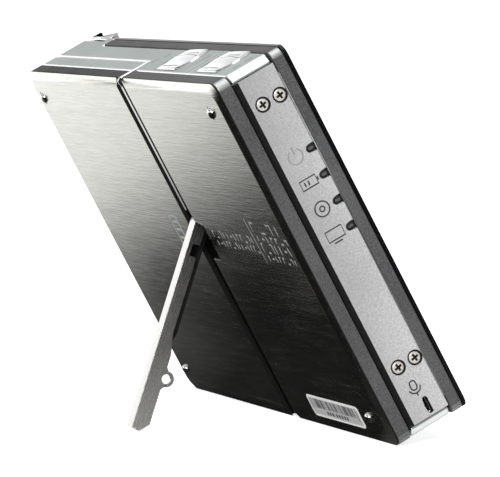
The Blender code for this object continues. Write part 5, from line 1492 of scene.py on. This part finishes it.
def floor_disc(settings):
    """Wide pale floor, which glows as painted light and mirrors into the player as a dark table, a painted
    reflection.
    """
    mesh = mesh_from("floor", lambda shape: bmesh.ops.create_circle(
        shape, cap_ends=True, segments=96, radius=FLOOR_RADIUS))
    made, tree, shader, place = started(
        "pale_floor", Emission_Strength=1.0, Roughness=0.9, Specular_IOR_Level=0.0)
    path = shader_node(tree, "ShaderNodeLightPath", {}).outputs
    mottle = ranged(tree, noise(tree, place["Object"], 9.0, 2), 0.3, 0.7, 0.985, 1.0)
    pale = blended(tree, mottle, scaled(settings.floor, 0.9), settings.floor)
    sides = axes(tree, place["Object"])
    slant = plus(tree, ranged(tree, sides[1], 0.016, 0.05, -0.036, 0.03),
                 ranged(tree, sides[1], 0.0, 0.01, 0.03, 0))
    away = plus(tree, sides[0], times(tree, slant, ranged(tree, sides[0], 0.0, 0.03, 0, 1)))
    nearest, furthest = PAINTED_FLOOR_REFLECTION[0][0], PAINTED_FLOOR_REFLECTION[-1][0]
    fall = shader_node(
        tree, "ShaderNodeValToRGB", {"Fac": ranged(tree, away, nearest, furthest, 0, 1)})
    stops = fall.color_ramp.elements
    for _ in PAINTED_FLOOR_REFLECTION[2:]:
        stops.new(0.5)
    brightest = PAINTED_FLOOR_REFLECTION[-1][1]
    for stop, (distance, grey) in zip(stops, PAINTED_FLOOR_REFLECTION):
        stop.position = (distance - nearest) / (furthest - nearest)
        share = grey / brightest
        stop.color = (share, share, 0.97 * share, 1)
    # Painted shadow in the reflection: the floor behind the player, on the camera's side, mirrors near black.
    behind = times(tree, ranged(tree, sides[0], -0.04, -0.06, 0, 1), ranged(tree, sides[1], -0.02, 0.0, 0, 1))
    reflection_with_shadow = blended(tree, behind, fall.outputs["Color"], (0.004, 0.004, 0.004))
    mirrored = shader_node(
        tree, "ShaderNodeVectorMath", {0: reflection_with_shadow, "Scale": brightest}, operation="SCALE")
    feed(tree, shader, Base_Color=blended(tree, path["Is Glossy Ray"], pale, (0, 0, 0)))
    # Painted light: the floor glows for the rays that light the player, and glows evenly white for the camera.
    glow = blended(tree, path["Is Camera Ray"], (settings.floor_glow,) * 3, (0.72, 0.72, 0.72))
    feed(tree, shader, Emission_Color=blended(tree, path["Is Glossy Ray"], glow, mirrored.outputs[0]))
    mesh.materials.append(made)
    floor = bpy.data.objects.new("floor", mesh)
    bpy.context.scene.collection.objects.link(floor)


def surroundings(settings):
    """Surroundings that the player mirrors: bright on the far side, dimmer by the camera and overhead."""
    world = bpy.data.worlds.new("studio")
    world.use_nodes = True
    tree = world.node_tree
    background = tree.nodes["Background"]
    way = axes(tree, tree.nodes.new("ShaderNodeTexCoord").outputs["Generated"])
    beside = ranged(tree, way[0], -0.9, 0.9, settings.near_side, settings.far_side)
    above = plus(tree, ranged(tree, way[2], 0.19, 0.29, 1, settings.ceiling),
                 ranged(tree, way[2], 0.6, 0.9, 0, 0.6))
    direct = shader_node(tree, "ShaderNodeLightPath", {}).outputs["Is Camera Ray"]
    lit = ranged(tree, direct, 0, 1, times(tree, beside, above), 1)
    tree.links.new(lit, background.inputs["Strength"])
    background.inputs["Color"].default_value = (1, 1, 1, 1)
    bpy.context.scene.world = world


def soft_light(name, power, size, place, aim):
    """Square soft light that faces a point."""
    light = bpy.data.lights.new(name, "AREA")
    light.energy = power
    light.size = size
    holder = bpy.data.objects.new(name, light)
    holder.location = place
    holder.rotation_euler = (Vector(aim) - Vector(place)).to_track_quat("-Z", "Y").to_euler()
    bpy.context.scene.collection.objects.link(holder)


def view_camera(settings):
    """Camera at the photograph's viewing angle, turned a little about its own axis."""
    camera = bpy.data.cameras.new("camera")
    camera.lens = settings.focal_length
    camera.clip_start = 0.05
    camera.clip_end = 60
    holder = bpy.data.objects.new("camera", camera)
    look = (Vector(CAMERA_AIM) - Vector(CAMERA_PLACE)).to_track_quat("-Z", "Y")
    turn = look.to_matrix() @ Matrix.Rotation(CAMERA_ROLL, 3, "Z")
    holder.matrix_world = Matrix.Translation(CAMERA_PLACE) @ turn.to_4x4()
    bpy.context.scene.collection.objects.link(holder)
    bpy.context.scene.camera = holder


OPERATORS = (
    PLAYER_OT_shell, PLAYER_OT_back_plates, PLAYER_OT_screen, PLAYER_OT_top_rockers,
    PLAYER_OT_front_rockers, PLAYER_OT_stand, PLAYER_OT_screws, PLAYER_OT_side_details,
    PLAYER_OT_top_details, PLAYER_OT_back_details, PLAYER_OT_sockets, PLAYER_OT_inside,
    PLAYER_OT_stage)
SETTINGS = {
    "player_shell": ShellSettings, "player_plates": PlateSettings, "player_rockers": RockerSettings,
    "player_stand": StandSettings, "player_marks": MarkSettings, "player_stage": StageSettings}


class PLAYER_PT_dressing(bpy.types.Panel):
    """Lists the pieces of the player and their settings"""
    bl_label = "Portable media player"
    bl_space_type = "VIEW_3D"
    bl_region_type = "UI"
    bl_category = "Player"

    def draw(self, context):
        for name, group in SETTINGS.items():
            settings = getattr(context.scene, name)
            for key in group.__annotations__:
                self.layout.prop(settings, key)
        for operator in OPERATORS:
            self.layout.operator(operator.bl_idname)


def register():
    """Registers the settings, the operators and the panel."""
    for name, group in SETTINGS.items():
        bpy.utils.register_class(group)
        setattr(bpy.types.Scene, name, bpy.props.PointerProperty(type=group))
    for operator in (*OPERATORS, PLAYER_PT_dressing):
        bpy.utils.register_class(operator)


def unregister():
    """Takes everything out again."""
    for operator in (PLAYER_PT_dressing, *reversed(OPERATORS)):
        bpy.utils.unregister_class(operator)
    for name, group in SETTINGS.items():
        delattr(bpy.types.Scene, name)
        bpy.utils.unregister_class(group)


def main():
    """Dresses the player piece by piece."""
    register()
    for operator in OPERATORS:
        area, name = operator.bl_idname.split(".")
        getattr(getattr(bpy.ops, area), name)()


if __name__ == "__main__":
    main()
